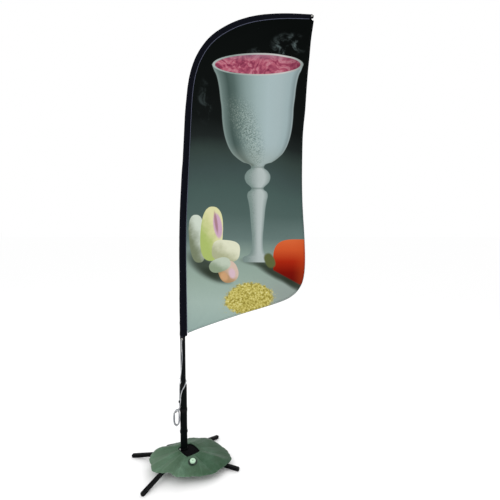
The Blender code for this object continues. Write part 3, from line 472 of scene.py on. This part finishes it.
    # Knitted cloth under the ink
    turns = math.tau / 0.0011
    knit = g.sine(x * turns) * g.sine(z * turns * 0.8)
    cloth = g.noise(420, 3)
    g.set("Base Color", g.mix(knit * 0.02 + cloth * 0.08 + 0.13, picture, (0, 0, 0)))
    g.set("Roughness", cloth * 0.12 + 0.68)
    g.bump(knit * 0.5 + cloth * 0.5, 0.0002, 0.35)
    return g.material


def bag_material():
    """Green cloth coated with soft vinyl: a fine weave, random scuffs, painted highlights on the fold ridges with
    painted shade in the creases, and painted light on the front-left side with painted shade towards the
    back-right.
    """
    g = Graph("green_coated_cloth", roughness=0.5, specular=0.12)
    x, y, _ = g.place()
    cloud = g.noise(9, 5, 0.6)
    patch = g.noise(26, 5, 0.65)
    tone = g.ramp(cloud * 0.6 + patch * 0.4, (
        (0.30, 42, 68, 47), (0.46, 58, 86, 62), (0.56, 66, 97, 74),
        (0.72, 88, 120, 97),
    ))
    # Painted highlight on the raised fold ridges and painted shade in the sunken creases, taken from the mesh's
    # pointiness.
    edge = g.node("ShaderNodeNewGeometry").outputs["Pointiness"]
    ridge_highlight = g.step(0.505, 0.56, Field(g, edge))
    crease_shade = g.step(0.495, 0.44, Field(g, edge))
    tone = g.mix(ridge_highlight * 0.5, tone, (122, 152, 130))
    tone = g.mix(crease_shade * 0.5, tone, (34, 56, 40))
    turns = math.tau / 0.0016
    weave = g.sine(x * turns) * g.sine(y * turns)
    scuff = g.step(0.58, 0.72, g.noise(120, 4, 0.7))
    tone = g.mix(scuff * 0.10, tone, (150, 172, 152))
    # Painted light on the front-left side and painted shade towards the back-right, as if lit from the left.
    tone = g.mix(g.step(0.05, -0.25, x + y) * 0.16, tone, (150, 178, 156))
    tone = g.mix(g.step(-0.25, 0.30, x + y) * 0.5, tone, (34, 56, 40))
    g.set("Base Color", tone)
    g.set("Roughness", patch * 0.22 + weave * 0.03 + 0.34)
    g.bump(weave * 0.35 + patch * 0.4 + g.noise(300, 3) * 0.25, 0.0006, 0.45)
    return g.material


def cord_material():
    """White braid gone grey with handling, with painted shade in the grooves between its strands."""
    g = Graph("white_braided_cord", roughness=0.85, specular=0.1)
    x, y, z = g.place()
    dirt = g.noise(24, 4, 0.6)
    strand = g.sine((z + x * 0.8 + y * 0.8) * (math.tau / 0.0030))
    other = g.sine((z - x * 0.8 - y * 0.8) * (math.tau / 0.0030))
    braid = g.most(strand, other)
    tone = g.mix(g.step(0.40, 0.66, dirt), (206, 208, 210), (158, 161, 168))
    # Painted shade in the grooves between the strands.
    g.set("Base Color", g.mix(g.step(0.2, -0.7, braid) * 0.6, tone, (104, 106, 116)))
    g.set("Roughness", dirt * 0.15 + 0.75)
    g.bump(braid, 0.0006, 0.8)
    return g.material


LOOKS = {
    "bar": painted("black_powder_coat", (6, 7, 8), (24, 25, 26), 0.5, 700, specular=0.04),
    "foot": painted("black_plastic", (6, 6, 7), (22, 23, 24), 0.6, 1200, specular=0.1),
    "steel": metal("zinc_plated_steel", (186, 188, 190), 0.38, (120, 120, 116)),
    "nylon": painted("white_nylon", (226, 226, 220), (205, 203, 194), 0.5, 900),
    "tube": painted("black_enamel", (4, 7, 7), (16, 21, 20), 0.4, 500, specular=0.03),
    "pole": painted("black_anodised_pole", (4, 6, 8), (22, 25, 28), 0.42, 900, specular=0.04),
    "rod": painted("glass_fibre_rod", (28, 28, 26), (48, 47, 44), 0.45, 500),
    "sleeve": woven("dark_sleeve_cloth", (5, 6, 12), (18, 20, 32), 0.0012, 0.9, sheen=0.02),
    "print": print_material(),
    "vinyl": painted("black_vinyl", (6, 6, 9), (20, 20, 24), 0.55, 600, specular=0.12),
    "webbing": woven("black_webbing", (5, 5, 6), (20, 20, 22), 0.0022, 0.95),
    "piping": woven("grey_blue_piping", (74, 78, 98), (110, 114, 134), 0.0009, 0.6, sheen=0.2),
    "thread": woven("dark_thread", (24, 27, 30), (60, 64, 68), 0.0008, 0.8),
    "nickel": metal("nickel_plate", (206, 204, 198), 0.26, (150, 146, 136)),
    "cord": cord_material(),
    "bag": bag_material(),
    "valve": painted("dark_green_plastic", (20, 36, 27), (44, 62, 50), 0.4, 900),
    "cap": painted("pale_mint_plastic", (176, 212, 182), (206, 228, 208), 0.42, 900),
}


# Meshes


def add_mesh(name, points, faces, look, smooth=True):
    mesh = bpy.data.meshes.new(name)
    mesh.from_pydata([tuple(p) for p in points], [], faces)
    work = bmesh.new()
    work.from_mesh(mesh)
    bmesh.ops.recalc_face_normals(work, faces=work.faces)
    work.to_mesh(mesh)
    work.free()
    mesh.polygons.foreach_set("use_smooth", [smooth] * len(mesh.polygons))
    mesh.materials.append(LOOKS[look])
    obj = bpy.data.objects.new(name, mesh)
    bpy.context.scene.collection.objects.link(obj)
    return obj


def grid_faces(rows, count, closed_rows, closed_ring=True):
    """Quads between rows of equal count, numbered row after row."""
    faces = []
    for i in range(rows if closed_rows else rows - 1):
        a, b = i * count, (i + 1) % rows * count
        for j in range(count if closed_ring else count - 1):
            k = (j + 1) % count
            faces.append((a + j, a + k, b + k, b + j))
    return faces


def loft(name, rings, look, closed=False, smooth=True):
    """A tube through rings of equal count, capped at both ends unless it closes on itself."""
    count = len(rings[0])
    faces = grid_faces(len(rings), count, closed)
    if not closed:
        faces.append(tuple(range(count)))
        faces.append(tuple((len(rings) - 1) * count + j for j in range(count)))
    return add_mesh(name, [p for ring in rings for p in ring], faces, look, smooth)


def smooth_between(before, start, end, after, t):
    """A point or number on the smooth curve from start to end."""
    return 0.5 * (
        2 * start
        + (end - before) * t
        + (2 * before - 5 * start + 4 * end - after) * t * t
        + (3 * start - before - 3 * end + after) * t ** 3
    )


def straight_between(pairs, place):
    """The value at this place on straight lines through (place, value) pairs."""
    for (start, low), (end, high) in zip(pairs, pairs[1:]):
        if place <= end:
            return low + (high - low) * (place - start) / (end - start)
    return pairs[-1][1]


def spline(controls, per_span):
    """Points of a smooth curve through the controls."""
    points = [Vector(p) for p in controls]
    ends = [2 * points[0] - points[1]] + points + [2 * points[-1] - points[-2]]
    found = []
    for i in range(1, len(ends) - 2):
        for j in range(per_span):
            found.append(smooth_between(*ends[i - 1: i + 3], j / per_span))
    found.append(points[-1])
    return found


def circular(values, angle):
    """A smooth value at this angle, from values spaced evenly round a circle."""
    count = len(values)
    place = angle % math.tau / math.tau * count
    i = int(place)
    return smooth_between(*(values[(i + k) % count] for k in (-1, 0, 1, 2)), place - i)


def even(line, step):
    """Points evenly spaced along a line, step apart or a little less."""
    runs = [0.0]
    for a, b in zip(line, line[1:]):
        runs.append(runs[-1] + (b - a).length)
    count = max(2, math.ceil(runs[-1] / step) + 1)
    found = []
    i = 0
    for k in range(count):
        at = runs[-1] * k / (count - 1)
        while i < len(line) - 2 and runs[i + 1] < at:
            i += 1
        share = (at - runs[i]) / max(runs[i + 1] - runs[i], 1e-9)
        found.append(line[i].lerp(line[i + 1], min(1.0, share)))
    return found


def tangents(line):
    """The direction along a line at each of its points."""
    ahead = line[1:] + line[-1:]
    behind = line[:1] + line[:-1]
    return [(b - a).normalized() for a, b in zip(behind, ahead)]


def stitches(name, line, sideways, body, pitch=0.0042, radius=0.00045, look="thread"):
    """A row of thread stitches lying on a surface, each a short rounded bead along the line."""
    sides = 6
    stations = ((0.10, 0.25), (0.28, 1.0), (0.72, 1.0), (0.90, 0.25))
    spots = even(line, pitch)
    points = []
    faces = []
    for a, b in zip(spots, spots[1:]):
        tangent = (b - a).normalized()
        length = (b - a).length
        out = sideways - tangent * sideways.dot(tangent)
        out.normalize()
        side = tangent.cross(out)
        start = len(points)
        for share, size in stations:
            for j in range(sides):
                angle = math.tau * j / sides
                points.append(
                    a + tangent * length * share
                    + (out * math.cos(angle) + side * math.sin(angle)) * radius * size
                )
        for face in grid_faces(len(stations), sides, False):
            faces.append(tuple(start + corner for corner in face))
        faces.append(tuple(start + sides - 1 - j for j in range(sides)))
        faces.append(tuple(len(points) - sides + j for j in range(sides)))
    obj = add_mesh(name, points, faces, look)
    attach(obj, body)
    return obj


# Camera, floor and lights


def build_stage():
    eye = bpy.data.cameras.new("camera")
    eye.lens = CAMERA_LENS
    eye.sensor_width = 36
    camera = bpy.data.objects.new("camera", eye)
    camera.location = CAMERA_AT
    camera.rotation_euler = (CAMERA_TILT, 0, 0)
    bpy.context.scene.collection.objects.link(camera)
    bpy.context.scene.camera = camera
    turns = ((-1, -1), (1, -1), (1, 1), (-1, 1))
    corners = [(x * FLOOR_REACH, y * FLOOR_REACH, FLOOR) for x, y in turns]
    pale = Graph("pale_floor", srgb(254, 254, 254), 0.9, specular=0.0)
    LOOKS["floor"] = pale.material
    floor = add_mesh("floor", corners, [(0, 1, 2, 3)], "floor", False)
    world = bpy.data.worlds.new("studio")
    world.use_nodes = True
    world.node_tree.nodes["Background"].inputs["Color"].default_value = (1.0, 1.0, 1.0, 1)
    world.node_tree.nodes["Background"].inputs["Strength"].default_value = 1.0
    bpy.context.scene.world = world
    bpy.context.scene.view_settings.view_transform = "Standard"
    for name, place, size, power, aim in (
        ("key", (-2.6, -3.4, 4.2), 2.2, 48, (0.3, 0, 1.0)),
        ("fill", (3.6, -2.6, 2.4), 2.4, 10, (0.3, 0, 1.0)),
        ("back", (1.0, 3.6, 3.6), 2.6, 30, (0.3, 0, 1.2)),
    ):
        light = bpy.data.lights.new(name, "AREA")
        light.energy = power
        light.size = size
        lamp = bpy.data.objects.new(name, light)
        lamp.location = place
        lamp.rotation_euler = (Vector(aim) - Vector(place)).to_track_quat("-Z", "Y").to_euler()
        bpy.context.scene.collection.objects.link(lamp)


# Tension cord


def cord_radius_at(height):
    """Distance of the cord's centre from the pole's axis, lying on what is under it."""
    wide = ROTATOR_RADIUS + CORD_RADIUS + CORD_LIFT
    narrow = POLE_RADII[0] + CORD_RADIUS + CORD_LIFT
    if height > TUBE_TOP + 0.005:
        return narrow
    if height < TUBE_TOP - 0.008:
        return wide
    return wide + (narrow - wide) * (height - TUBE_TOP + 0.008) / 0.013


def on_circle(radius, degrees, height):
    turn = math.radians(degrees)
    return Vector((radius * math.cos(turn), radius * math.sin(turn), height))


def cord_route(eye):
    """Down the pole to the hank, then up across the tube, round behind it and back to a knot."""
    controls = [Vector((eye.x, eye.y - 0.0052, eye.z - 0.0010)),
                Vector((eye.x - 0.0005, eye.y - 0.0050, eye.z - 0.0200)),
                Vector((eye.x - 0.002, eye.y - 0.0004, eye.z - 0.045))]
    down = (
        (262, 0.660), (252, 0.610), (236, 0.560), (217, 0.526), (205, 0.500), (206, 0.478),
        (209, 0.450), (210, 0.410), (210, TOGGLE_HEIGHT),
    )
    across = (
        (-128, 0.376), (-124, 0.400), (-114, 0.422), (-102, 0.440), (-84, 0.457), (-62, 0.473),
        (-40, 0.485), (-15, 0.493), (20, 0.498), (60, 0.502), (100, 0.506), (140, 0.511), (182, 0.517),
    )
    for angle, height in down:
        radius = cord_radius_at(height)
        if height == TOGGLE_HEIGHT:
            radius += TOGGLE_WALL + GAP
        controls.append(on_circle(radius, angle, height))
    top = HOOK_AT[1] + 0.0041 + CORD_RADIUS
    half_x, half_z = HANK_HALF
    centre = Vector((HOOK_AT[0], 0, top - half_z))
    controls.append(Vector((-0.0235, -0.0155, top + 0.012)))
    for i in range(HANK_POINTS + 1):
        turn = math.tau * (i + 1) / 8
        depth = -0.0105 - 0.0058 * i / 8
        width = half_x * (0.93 + 0.15 * math.sin(0.9 * i)) * (1 + 0.4 * math.cos(turn) ** 2)
        drop = half_z * (0.94 + 0.06 * math.cos(1.3 * i)) if math.cos(turn) < 0 else half_z
        controls.append(centre + Vector((width * math.sin(turn), depth, drop * math.cos(turn))))
    controls.append(Vector((-0.0310, -0.0350, top + 0.004)))
    controls.append(Vector((-0.0215, -0.0315, top + 0.022)))
    for angle, height in across:
        controls.append(on_circle(cord_radius_at(height), angle, height))
    return controls


def braided_tube(name, line, radius, look, sides=14, pitch=0.011, starts=4):
    """A round cord whose surface rises and falls with two crossing sets of strands."""
    ahead = tangents(line)
    side = ahead[0].orthogonal().normalized()
    rings = []
    run = 0.0
    for i, point in enumerate(line):
        if i:
            run += (point - line[i - 1]).length
            side = (side - ahead[i] * side.dot(ahead[i])).normalized()
        other = ahead[i].cross(side)
        turn = run / pitch * math.tau
        ring = []
        for j in range(sides):
            angle = math.tau * j / sides
            strand = max(math.sin(starts * angle + turn), math.sin(starts * angle - turn))
            reach = radius * (0.97 + 0.05 * strand)
            ring.append(point + (side * math.cos(angle) + other * math.sin(angle)) * reach)
        rings.append(ring)
    return loft(name, rings, look)


def build_cord(eye):
    line = spline(cord_route(eye), 2)
    fine = even(spline(line, 3), CORD_STEP)
    cord = braided_tube("tension_cord_braid", fine, CORD_RADIUS, "cord")
    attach(cord, "flag")
    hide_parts("tension_cord")
    end = line[-1]
    back = (line[-1] - line[-2]).normalized()
    side = Vector((0, 1, 0))
    up = back.cross(side).normalized()
    knot_line = []
    count = 48
    for i in range(count + 1):
        t = math.tau * i / count
        ring = 0.0030 + 0.0013 * math.cos(3 * t)
        knot_line.append(
            end + back * (0.0005 + 0.0022 * math.sin(3 * t))
            + (side * math.cos(2 * t) + up * math.sin(2 * t)) * ring
        )
    knot = braided_tube("cord_end_knot", knot_line, 0.0019, "cord", 10, 0.009, 3)
    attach(knot, "flag")


# Flag


def pole_frames():
    """(point, tangent, outward normal, distance) along the pole's bent centre line."""
    line = spline([(x, 0, z) for x, z in POLE_LINE], 6)
    ahead = tangents(line)
    frames = []
    run = 0.0
    for i, point in enumerate(line):
        if i:
            run += (point - line[i - 1]).length
        frames.append((point, ahead[i], Vector((-ahead[i].z, 0, ahead[i].x)), run))
    return frames


def frame_at(frames, distance):
    """(point, tangent, outward normal) at this distance along the pole, or past its ends."""
    if distance < 0:
        return Vector((0, 0, frames[0][0].z + distance)), Vector((0, 0, 1)), Vector((-1, 0, 0))
    for before, after in zip(frames, frames[1:]):
        if before[3] <= distance <= after[3]:
            t = (distance - before[3]) / (after[3] - before[3])
            tangent = before[1].lerp(after[1], t).normalized()
            return before[0].lerp(after[0], t), tangent, Vector((-tangent.z, 0, tangent.x))
    point, tangent, normal, run = frames[-1]
    return point + tangent * (distance - run), tangent, normal


def sleeve_core(height):
    """Radius of the round hollow in the sleeve, by distance along the pole as a height."""
    lower, middle, upper = POLE_RADII[0], POLE_RADII[1] + 0.0004, POLE_RADII[2] + 0.0004
    return SLEEVE_SLACK + straight_between((
        (0.70, lower), (LOWER_SECTION_TOP + 0.03, lower), (LOWER_SECTION_TOP + 0.10, middle),
        (MIDDLE_SECTION_TOP + 0.04, middle), (MIDDLE_SECTION_TOP + 0.10, upper), (2.16, upper),
        (2.25, 0.0085), (4.0, 0.0075),
    ), height)


def sleeve_tail(run, total):
    """Distance from the pole's centre line to the seam."""
    near_tip = max(0.0, (run - total + 0.30) / 0.30)
    return SEAM_REACH - 0.006 * min(1.0, max(0.0, run / total)) - 0.006 * near_tip


def sleeve_ring(place, radius, tail, half, creases):
    """A drop-shaped section: round over the pole, then straight to the seam."""
    point, _, normal = place
    across = Vector((0, 1, 0))
    beta = math.acos(min(0.98, radius / tail))
    ring = []
    arc = 26
    for j in range(arc + 1):
        angle = -(math.pi - beta) + 2 * (math.pi - beta) * j / arc
        reach = radius + creases(angle)
        ring.append(point + normal * reach * math.cos(angle) + across * reach * math.sin(angle))
    touch = Vector((-radius * math.cos(beta), radius * math.sin(beta)))
    end = Vector((-tail, half))
    shares = (0.25, 0.5, 0.75, 1.0)
    for face, order in ((across, shares), (-across, shares[::-1])):
        for share in order:
            spot = touch.lerp(end, share)
            ring.append(point + normal * spot.x + face * (spot.y + creases(math.pi) * (1 - share)))
    return ring


def crease_at(run):
    """How far the cloth stands off the pole at each angle round it: puckers and slack folds."""
    bend = max(0.0, 1 - abs(run - 1.62) / 0.62)
    slack = max(0.0, 1 - (run + 0.06) / 0.20)

    def depth(angle):
        spot = Vector((run * 26, math.cos(angle) * 0.9, math.sin(angle) * 0.9))
        gathers = max(0.0, noise.noise(Vector((run * 55, 4.1, math.cos(angle) * 0.6))))
        inner = 0.5 - 0.5 * math.cos(angle)
        diagonal = max(0.0, math.sin(run * 95 + 2.2 * angle)) * slack
        soft = max(0.0, noise.noise(spot))
        return 0.0009 * soft + 0.0022 * gathers * inner * bend + 0.0012 * diagonal
    return depth


def build_sleeve(frames):
    base = frames[0][0].z
    total = frames[-1][3]
    start = SLEEVE_BOTTOM - base
    stop = total + 0.016
    count = 300
    outer = []
    inner = []
    seam = []
    for i in range(count + 1):
        run = start + (stop - start) * i / count
        place = frame_at(frames, run)
        core = sleeve_core(base + run)
        tail = sleeve_tail(run, total)
        outer.append(sleeve_ring(place, core + CLOTH, tail, SEAM_HALF, crease_at(run)))
        inner.append(sleeve_ring(place, core, tail - 0.0045, 0.0003, lambda angle: 0.0))
        seam.append((place[0] - place[2] * tail, place[2]))
    rings = outer + inner[::-1]
    faces = grid_faces(len(rings), len(rings[0]), True)
    sleeve = add_mesh("sleeve_cloth", [p for ring in rings for p in ring], faces, "sleeve")
    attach(sleeve, "flag")
    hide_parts("flag_sleeve")
    return sleeve, seam


def seam_distance(points, seam):
    """How far each (x, z) is from the seam."""
    spots = np.array([(s[0].x, s[0].z) for s in seam])
    found = np.full(len(points), 9.0)
    for a, b in zip(spots[:-3:3], spots[3::3]):
        d = b - a
        t = np.clip(((points - a) @ d) / (d @ d), 0, 1)
        found = np.minimum(found, np.linalg.norm(points - a - t[:, None] * d, axis=1))
    return found


def billow(points, seam):
    """How far the cloth stands off its flat plane, at (x, z) points: soft folds held at the seam."""
    x, z = points[:, 0], points[:, 1]
    d = seam_distance(points, seam)
    held = 1 - np.exp(-(d / 0.05) ** 1.5)
    y = 0.0045 * np.sin(2.1 * x + 1.5 * z + 0.6) * np.minimum(1, d / 0.25)
    pull = np.exp(-d / 0.16)
    y += 0.0022 * np.sin((z * 1.0 - 0.35 * x) * math.tau / 0.115 + 3 * np.sin(3.1 * z)) * pull
    # Pulls that fan out from the flag's foot and from its tip
    for cx, cz, way, high, waves, shift, fade, rise in (
        (0.03, 0.80, 1, 0.0035, 17, 0, 0.22, 0.06), (0.80, 2.70, -1, 0.0030, 15, 1, 0.30, 0.08),
    ):
        away = np.hypot(x - cx, z - cz)
        toward = np.arctan2((z - cz) * way, (x - cx) * way)
        y += high * np.sin(toward * waves + shift) * np.exp(-away / fade) * np.minimum(1, away / rise)
    y += 0.0012 * np.sin(9 * x - 23 * z + 2 * np.sin(7 * x)) * np.minimum(1, d / 0.1)
    return y * held


def on_cloth(line, seam, off=0.0):
    """A line in the flag's plane, laid on the folds of its cloth or off them to one side."""
    lift = billow(np.array([(p.x, p.z) for p in line]), seam)
    return [Vector((p.x, y + off, p.z)) for p, y in zip(line, lift)]


def edge_offsets(line, inset):
    """The free edge moved inwards, to its left as it runs from the foot to the tip."""
    moved = []
    for point, tangent in zip(line, tangents(line)):
        moved.append(point + Vector((-tangent.z, 0, tangent.x)) * inset)
    return moved


def inside_outline(points, outline, margin):
    """Which points lie inside a closed outline and at least margin from it."""
    within = np.zeros(len(points), bool)
    near = np.full(len(points), 9.0)
    for a, b in zip(outline, np.roll(outline, -1, axis=0)):
        d = b - a
        crosses = (points[:, 1] < a[1]) != (points[:, 1] < b[1])
        rise = np.where(crosses, d[1], 1.0)
        at = a[0] + (points[:, 1] - a[1]) / rise * d[0]
        within ^= crosses & (points[:, 0] < at)
        t = np.clip(((points - a) @ d) / max(d @ d, 1e-12), 0, 1)
        near = np.minimum(near, np.linalg.norm(points - a - t[:, None] * d, axis=1))
    return within & (near > margin)


def flat_cloth(outline, spacing, hole=None):
    """((x, z) points, triangles) that fill an outline evenly, leaving out a round (x, z, radius) hole."""
    low, high = outline.min(0), outline.max(0)
    rows = np.arange(low[1], high[1], spacing * 0.866)
    spots = []
    for i, level in enumerate(rows):
        shift = 0.5 * spacing * (i % 2)
        spots += [(x + shift, level) for x in np.arange(low[0], high[0], spacing)]
    spots = np.array(spots)
    spots = spots[inside_outline(spots, outline, spacing * 0.45)]
    rim = []
    if hole:
        x, z, radius = hole
        away = np.hypot(spots[:, 0] - x, spots[:, 1] - z)
        spots = spots[away > radius + spacing * 0.4]
        turns = [math.tau * j / 28 for j in range(28)]
        rim = [(x + radius * math.cos(turn), z + radius * math.sin(turn)) for turn in turns]
    count = len(outline)
    verts = [Vector(p) for p in outline] + [Vector(p) for p in rim] + [Vector(p) for p in spots]
    edges = [(count + j, count + (j + 1) % len(rim)) for j in range(len(rim))]
    made = geometry.delaunay_2d_cdt(verts, edges, [list(range(count))], 1, 1e-7)
    points = np.array([tuple(p) for p in made[0]])
    faces = [tuple(f) for f in made[2]]
    if hole:
        middles = [points[list(f)].mean(0) for f in faces]
        faces = [f for f, m in zip(faces, middles) if math.hypot(m[0] - x, m[1] - z) > radius * 0.98]
    return points, faces


def build_panel(seam):
    """The printed cloth, its folded hem, the overlocked rim and two rows of stitches."""
    edge = spline([(x, 0, z) for x, z in FREE_EDGE], 4)
    tucked = edge_offsets(edge, HEM_WIDTH - 0.004)
    inner = [(place - normal * -0.0035) for place, normal in seam]
    low = tucked[0].z + 0.001
    outline = [(p.x, p.z) for p in inner if p.z > low]
    outline += [(p.x, p.z) for p in tucked[::-1] if p.z > low]
    outline = np.array(outline)
    points, faces = flat_cloth(outline, PANEL_SPACING)
    lift = billow(points, seam)
    panel = add_mesh("printed_panel", [(p[0], y, p[1]) for p, y in zip(points, lift)], faces, "print")
    panel.modifiers.new("cloth", "SOLIDIFY").thickness = CLOTH
    panel.modifiers["cloth"].offset = 0.0
    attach(panel, "flag")
    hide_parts("flag_panel")

    # Hem: the cloth folded over along the free edge, with a dark overlocked rim
    count = len(edge)
    section = (
        (0.0, 0.0), (0.0006, 0.8), (0.002, 1.0), (0.0085, 1.0), (0.0105, 0.75), (HEM_WIDTH, 0.0),
    )
    inner_lines = [edge_offsets(edge, depth) for depth, _ in section]
    rings = []
    for i in range(count):
        back = [(line[i], HEM_HALF * size) for line, (_, size) in zip(inner_lines, section)]
        front = [(point, -y) for point, y in back]
        rings.append([(p.x, y, p.z) for p, y in front + back[-2:0:-1]])
    flat = np.array([(p[0], p[2]) for ring in rings for p in ring])
    lift = billow(flat, seam).reshape(count, -1)
    rings = [[(p[0], p[1] + y, p[2]) for p, y in zip(ring, row)] for ring, row in zip(rings, lift)]
    hem = loft("folded_hem", rings, "print")
    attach(hem, "flag")
    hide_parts("edge_hem")

    line = even(on_cloth(edge_offsets(edge, 0.0009), seam), 0.004)
    overlock = braided_tube("hem_overlock", line, 0.0013, "thread", 8, 0.0060, 2)
    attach(overlock, "flag")
    inset = edge_offsets(edge, HEM_STITCH_INSET)
    for side, name in ((-1, "front"), (1, "back")):
        row = on_cloth(inset, seam, side * (HEM_HALF + 0.0001))
        stitches("hem_stitches_" + name, row, Vector((0, side, 0)), "flag")


def build_seam(seam):
    """The piping and the two stitch rows where the sleeve meets the printed panel."""
    line = even([place - normal * 0.0006 for place, normal in seam[1:-1]], 0.004)
    piping = braided_tube("seam_piping", line, 0.0016, "piping", 8, 0.0060, 2)
    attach(piping, "flag")
    for side, name in ((-1, "front"), (1, "back")):
        lift = Vector((0, side * (SEAM_HALF + 0.0013), 0))
        row = [place + normal * 0.0032 + lift for place, normal in seam[2:-2]]
        stitches("seam_stitches_" + name, row, Vector((0, side, 0)), "flag")


def build_tab():
    """The webbing tab at the sleeve's foot, with a stitched box above its eyelet."""
    low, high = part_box("sleeve_tab")
    y = (low.y + high.y) / 2
    top = high.z
    outline = np.array([
        (-0.014, top + 0.006), (0.008, top + 0.006), (0.008, top - 0.018), (0.0068, top - 0.024),
        (0.004, top - 0.0285), (0.001, top - 0.0298), (-0.003, top - 0.0300), (-0.007, top - 0.0298),
        (-0.010, top - 0.0285), (-0.0128, top - 0.024), (-0.014, top - 0.018),
    ])
    hole_x, hole_drop, hole_radius = TAB_HOLE
    points, faces = flat_cloth(outline, 0.0022, (hole_x, top + hole_drop, hole_radius))
    tab = add_mesh("webbing_tab", [(p[0], y, p[1]) for p in points], faces, "webbing", False)
    thick = tab.modifiers.new("cloth", "SOLIDIFY")
    thick.thickness = 0.0018
    thick.offset = 0.0
    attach(tab, "flag")
    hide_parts("sleeve_tab")
    box = [Vector((px, y - 0.0010, pz)) for px, pz in (
        (-0.012, top + 0.004), (0.006, top + 0.004), (0.006, top - 0.006), (-0.012, top - 0.006),
        (-0.012, top + 0.004), (0.006, top - 0.006),
    )]
    stitches("tab_stitches", box, Vector((0, -1, 0)), "flag", 0.0026, 0.00035, "piping")


# Water bag


def bar_top(distance):
    """Height of the upper bar's top face, by distance from the pole's axis."""
    slope = (UPPER_BAR_HEIGHT - FLOOR - BAR_END_HEIGHT) / (BAR_REACH - BAR_FLAT)
    half = BAR_SIDE / 2 * math.sqrt(1 + slope * slope)
    return UPPER_BAR_HEIGHT + half - slope * (distance - BAR_FLAT)


def leg_ridge(angle, radius):
    """How much the skin is lifted over the four legs: one on a leg's line, nought away from it."""
    lift = 0.0
    for turn in LEG_TURNS:
        away = (angle - turn + math.pi) % math.tau - math.pi
        if abs(away) < 1.2:
            lift = max(lift, math.exp(-(radius * math.sin(away) / 0.024) ** 2))
    return lift


def fold_height(angle):
    """Ridges and valleys of the slack skin, as straight slopes between them."""
    turn = math.degrees(angle) % 360
    return straight_between(BAG_FOLDS, turn if turn >= BAG_FOLDS[0][0] else turn + 360)


def bag_shape(angle, share):
    """(x, y, bottom, top) of the water bag's skin at a turn round it and a share of its width."""
    corners = (abs(math.cos(angle)) ** 1.25 + abs(math.sin(angle)) ** 1.25) ** 0.8
    inner = BAG_HOLE_REACH / corners
    outer = circular(BAG_RADII, angle)
    edge = 0.0018 * math.sin(17 * angle + 1.3) + 0.0010 * math.sin(39 * angle)
    radius = inner + (outer + edge * share ** 6 - inner) * share
    x = BAG_CENTRE.x + radius * math.cos(angle)
    y = BAG_CENTRE.y + radius * math.sin(angle)
    away = math.hypot(x, y)
    droop = circular(BAG_SLUMP, angle) * share ** 2
    bottom = max(bar_top(max(away, BAR_FLAT)) + BAG_CLEAR - droop, FLOOR + 0.004)
    bottom += 0.0068 * max(0.0, 1 - share / 0.10) ** 1.5
    width = outer - inner
    seam = min(1.0, (1 - share) * width / 0.036, share * width / 0.030)
    fill = math.sin(math.pi / 2 * seam) ** 0.6
    ridge = leg_ridge(math.atan2(y, x), away)
    wander = 5 * noise.noise(Vector((x * 7, y * 7, 3.0)))
    fold = fold_height(angle + math.radians(wander)) * min(1.0, 0.25 + share * 1.1)
    soft = 0.0028 * noise.noise(Vector((x * 8, y * 8, 2.0)))
    fine = 0.0007 * noise.fractal(Vector((x * 38, y * 38, 5.0)), 1.0, 2.0, 3)
    gathers = math.exp(-share * width / 0.018) + math.exp(-(1 - share) * width / 0.022)
    pucker = 0.0016 * max(0.0, math.sin(46 * angle + 5 * share)) * gathers
    top = bottom + 0.0024 + fill * (0.0105 + 0.0045 * ridge + fold + soft + fine) + pucker
    place, axis = CAP_AXIS
    off = math.hypot(x - place.x, y - place.y)
    if off < VALVE_BLEND:
        level = place.z - GAP - ((x - place.x) * axis.x + (y - place.y) * axis.y) / axis.z
        near = min(1.0, max(0.0, (off - VALVE_FLAT) / (VALVE_BLEND - VALVE_FLAT)))
        near = near * near * (3 - 2 * near)
        top = level + (top - level) * near
    return x, y, bottom, max(top, bottom + BAG_RIM)


def build_bag():
    """One welded skin: pillowed above, following the bars below, with a thin rim at both edges."""
    around = 360
    shares = [0.5 - 0.5 * math.cos(math.pi * i / 30) for i in range(31)]
    top_rings = []
    bottom_rings = []
    for share in shares:
        upper = []
        lower = []
        for j in range(around):
            x, y, bottom, top = bag_shape(math.tau * j / around, share)
            upper.append((x, y, top))
            lower.append((x, y, bottom + 0.0004))
        top_rings.append(upper)
        bottom_rings.append(lower)
    rings = bottom_rings[:1] + top_rings + bottom_rings[:0:-1]
    faces = grid_faces(len(rings), around, True)
    points = [p for ring in rings for p in ring]
    bag = add_mesh("water_bag_skin", points, faces, "bag")
    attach(bag, "base")
    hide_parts("water_bag")


def build_handle():
    """The carrying strap: webbing bowed out from the bag's back edge, its ends meeting the rim."""
    steps = (-1, -0.5, 0, 0.5, 1)
    section = [(across, -1) for across in steps] + [(across, 1) for across in steps[::-1]]
    rings = []
    count = 40
    for i in range(count + 1):
        share = i / count
        angle = math.radians(112 + 32 * share)
        bow = math.sin(math.pi * share)
        outer = circular(BAG_RADII, angle)
        half = 0.0115 - 0.004 * bow
        reach = outer + bow * 0.030
        edge = bag_shape(angle, 1.0)
        level = (edge[2] + edge[3]) / 2 + 0.0012 * bow * math.sin(9 * share)
        ring = []
        for across, up in section:
            radius = reach + across * half
            ring.append((
                BAG_CENTRE.x + radius * math.cos(angle), BAG_CENTRE.y + radius * math.sin(angle),
                level + up * 0.0011,
            ))
        rings.append(ring)
    strap = loft("handle_webbing", rings, "webbing")
    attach(strap, "base")
    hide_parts("bag_handle")


# CAD pieces that stay as they are


def dress_cad():
    """Gives each CAD piece the look of its material slot."""
    for entry in frame["record"]["subparts"]:
        piece = NODES[entry["node"]]
        piece.data.materials.clear()
        piece.data.materials.append(LOOKS[entry["material_slot"]])
        piece.data.polygons.foreach_set("material_index", [0] * len(piece.data.polygons))


def main():
    build_stage()
    low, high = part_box("tab_eyelet")
    eye = Vector((-0.003, (low.y + high.y) / 2, (low.z + high.z) / 2))
    build_cord(eye)
    frames = pole_frames()
    sleeve, seam = build_sleeve(frames)
    build_panel(seam)
    build_seam(seam)
    build_tab()
    build_bag()
    build_handle()
    dress_cad()


main()
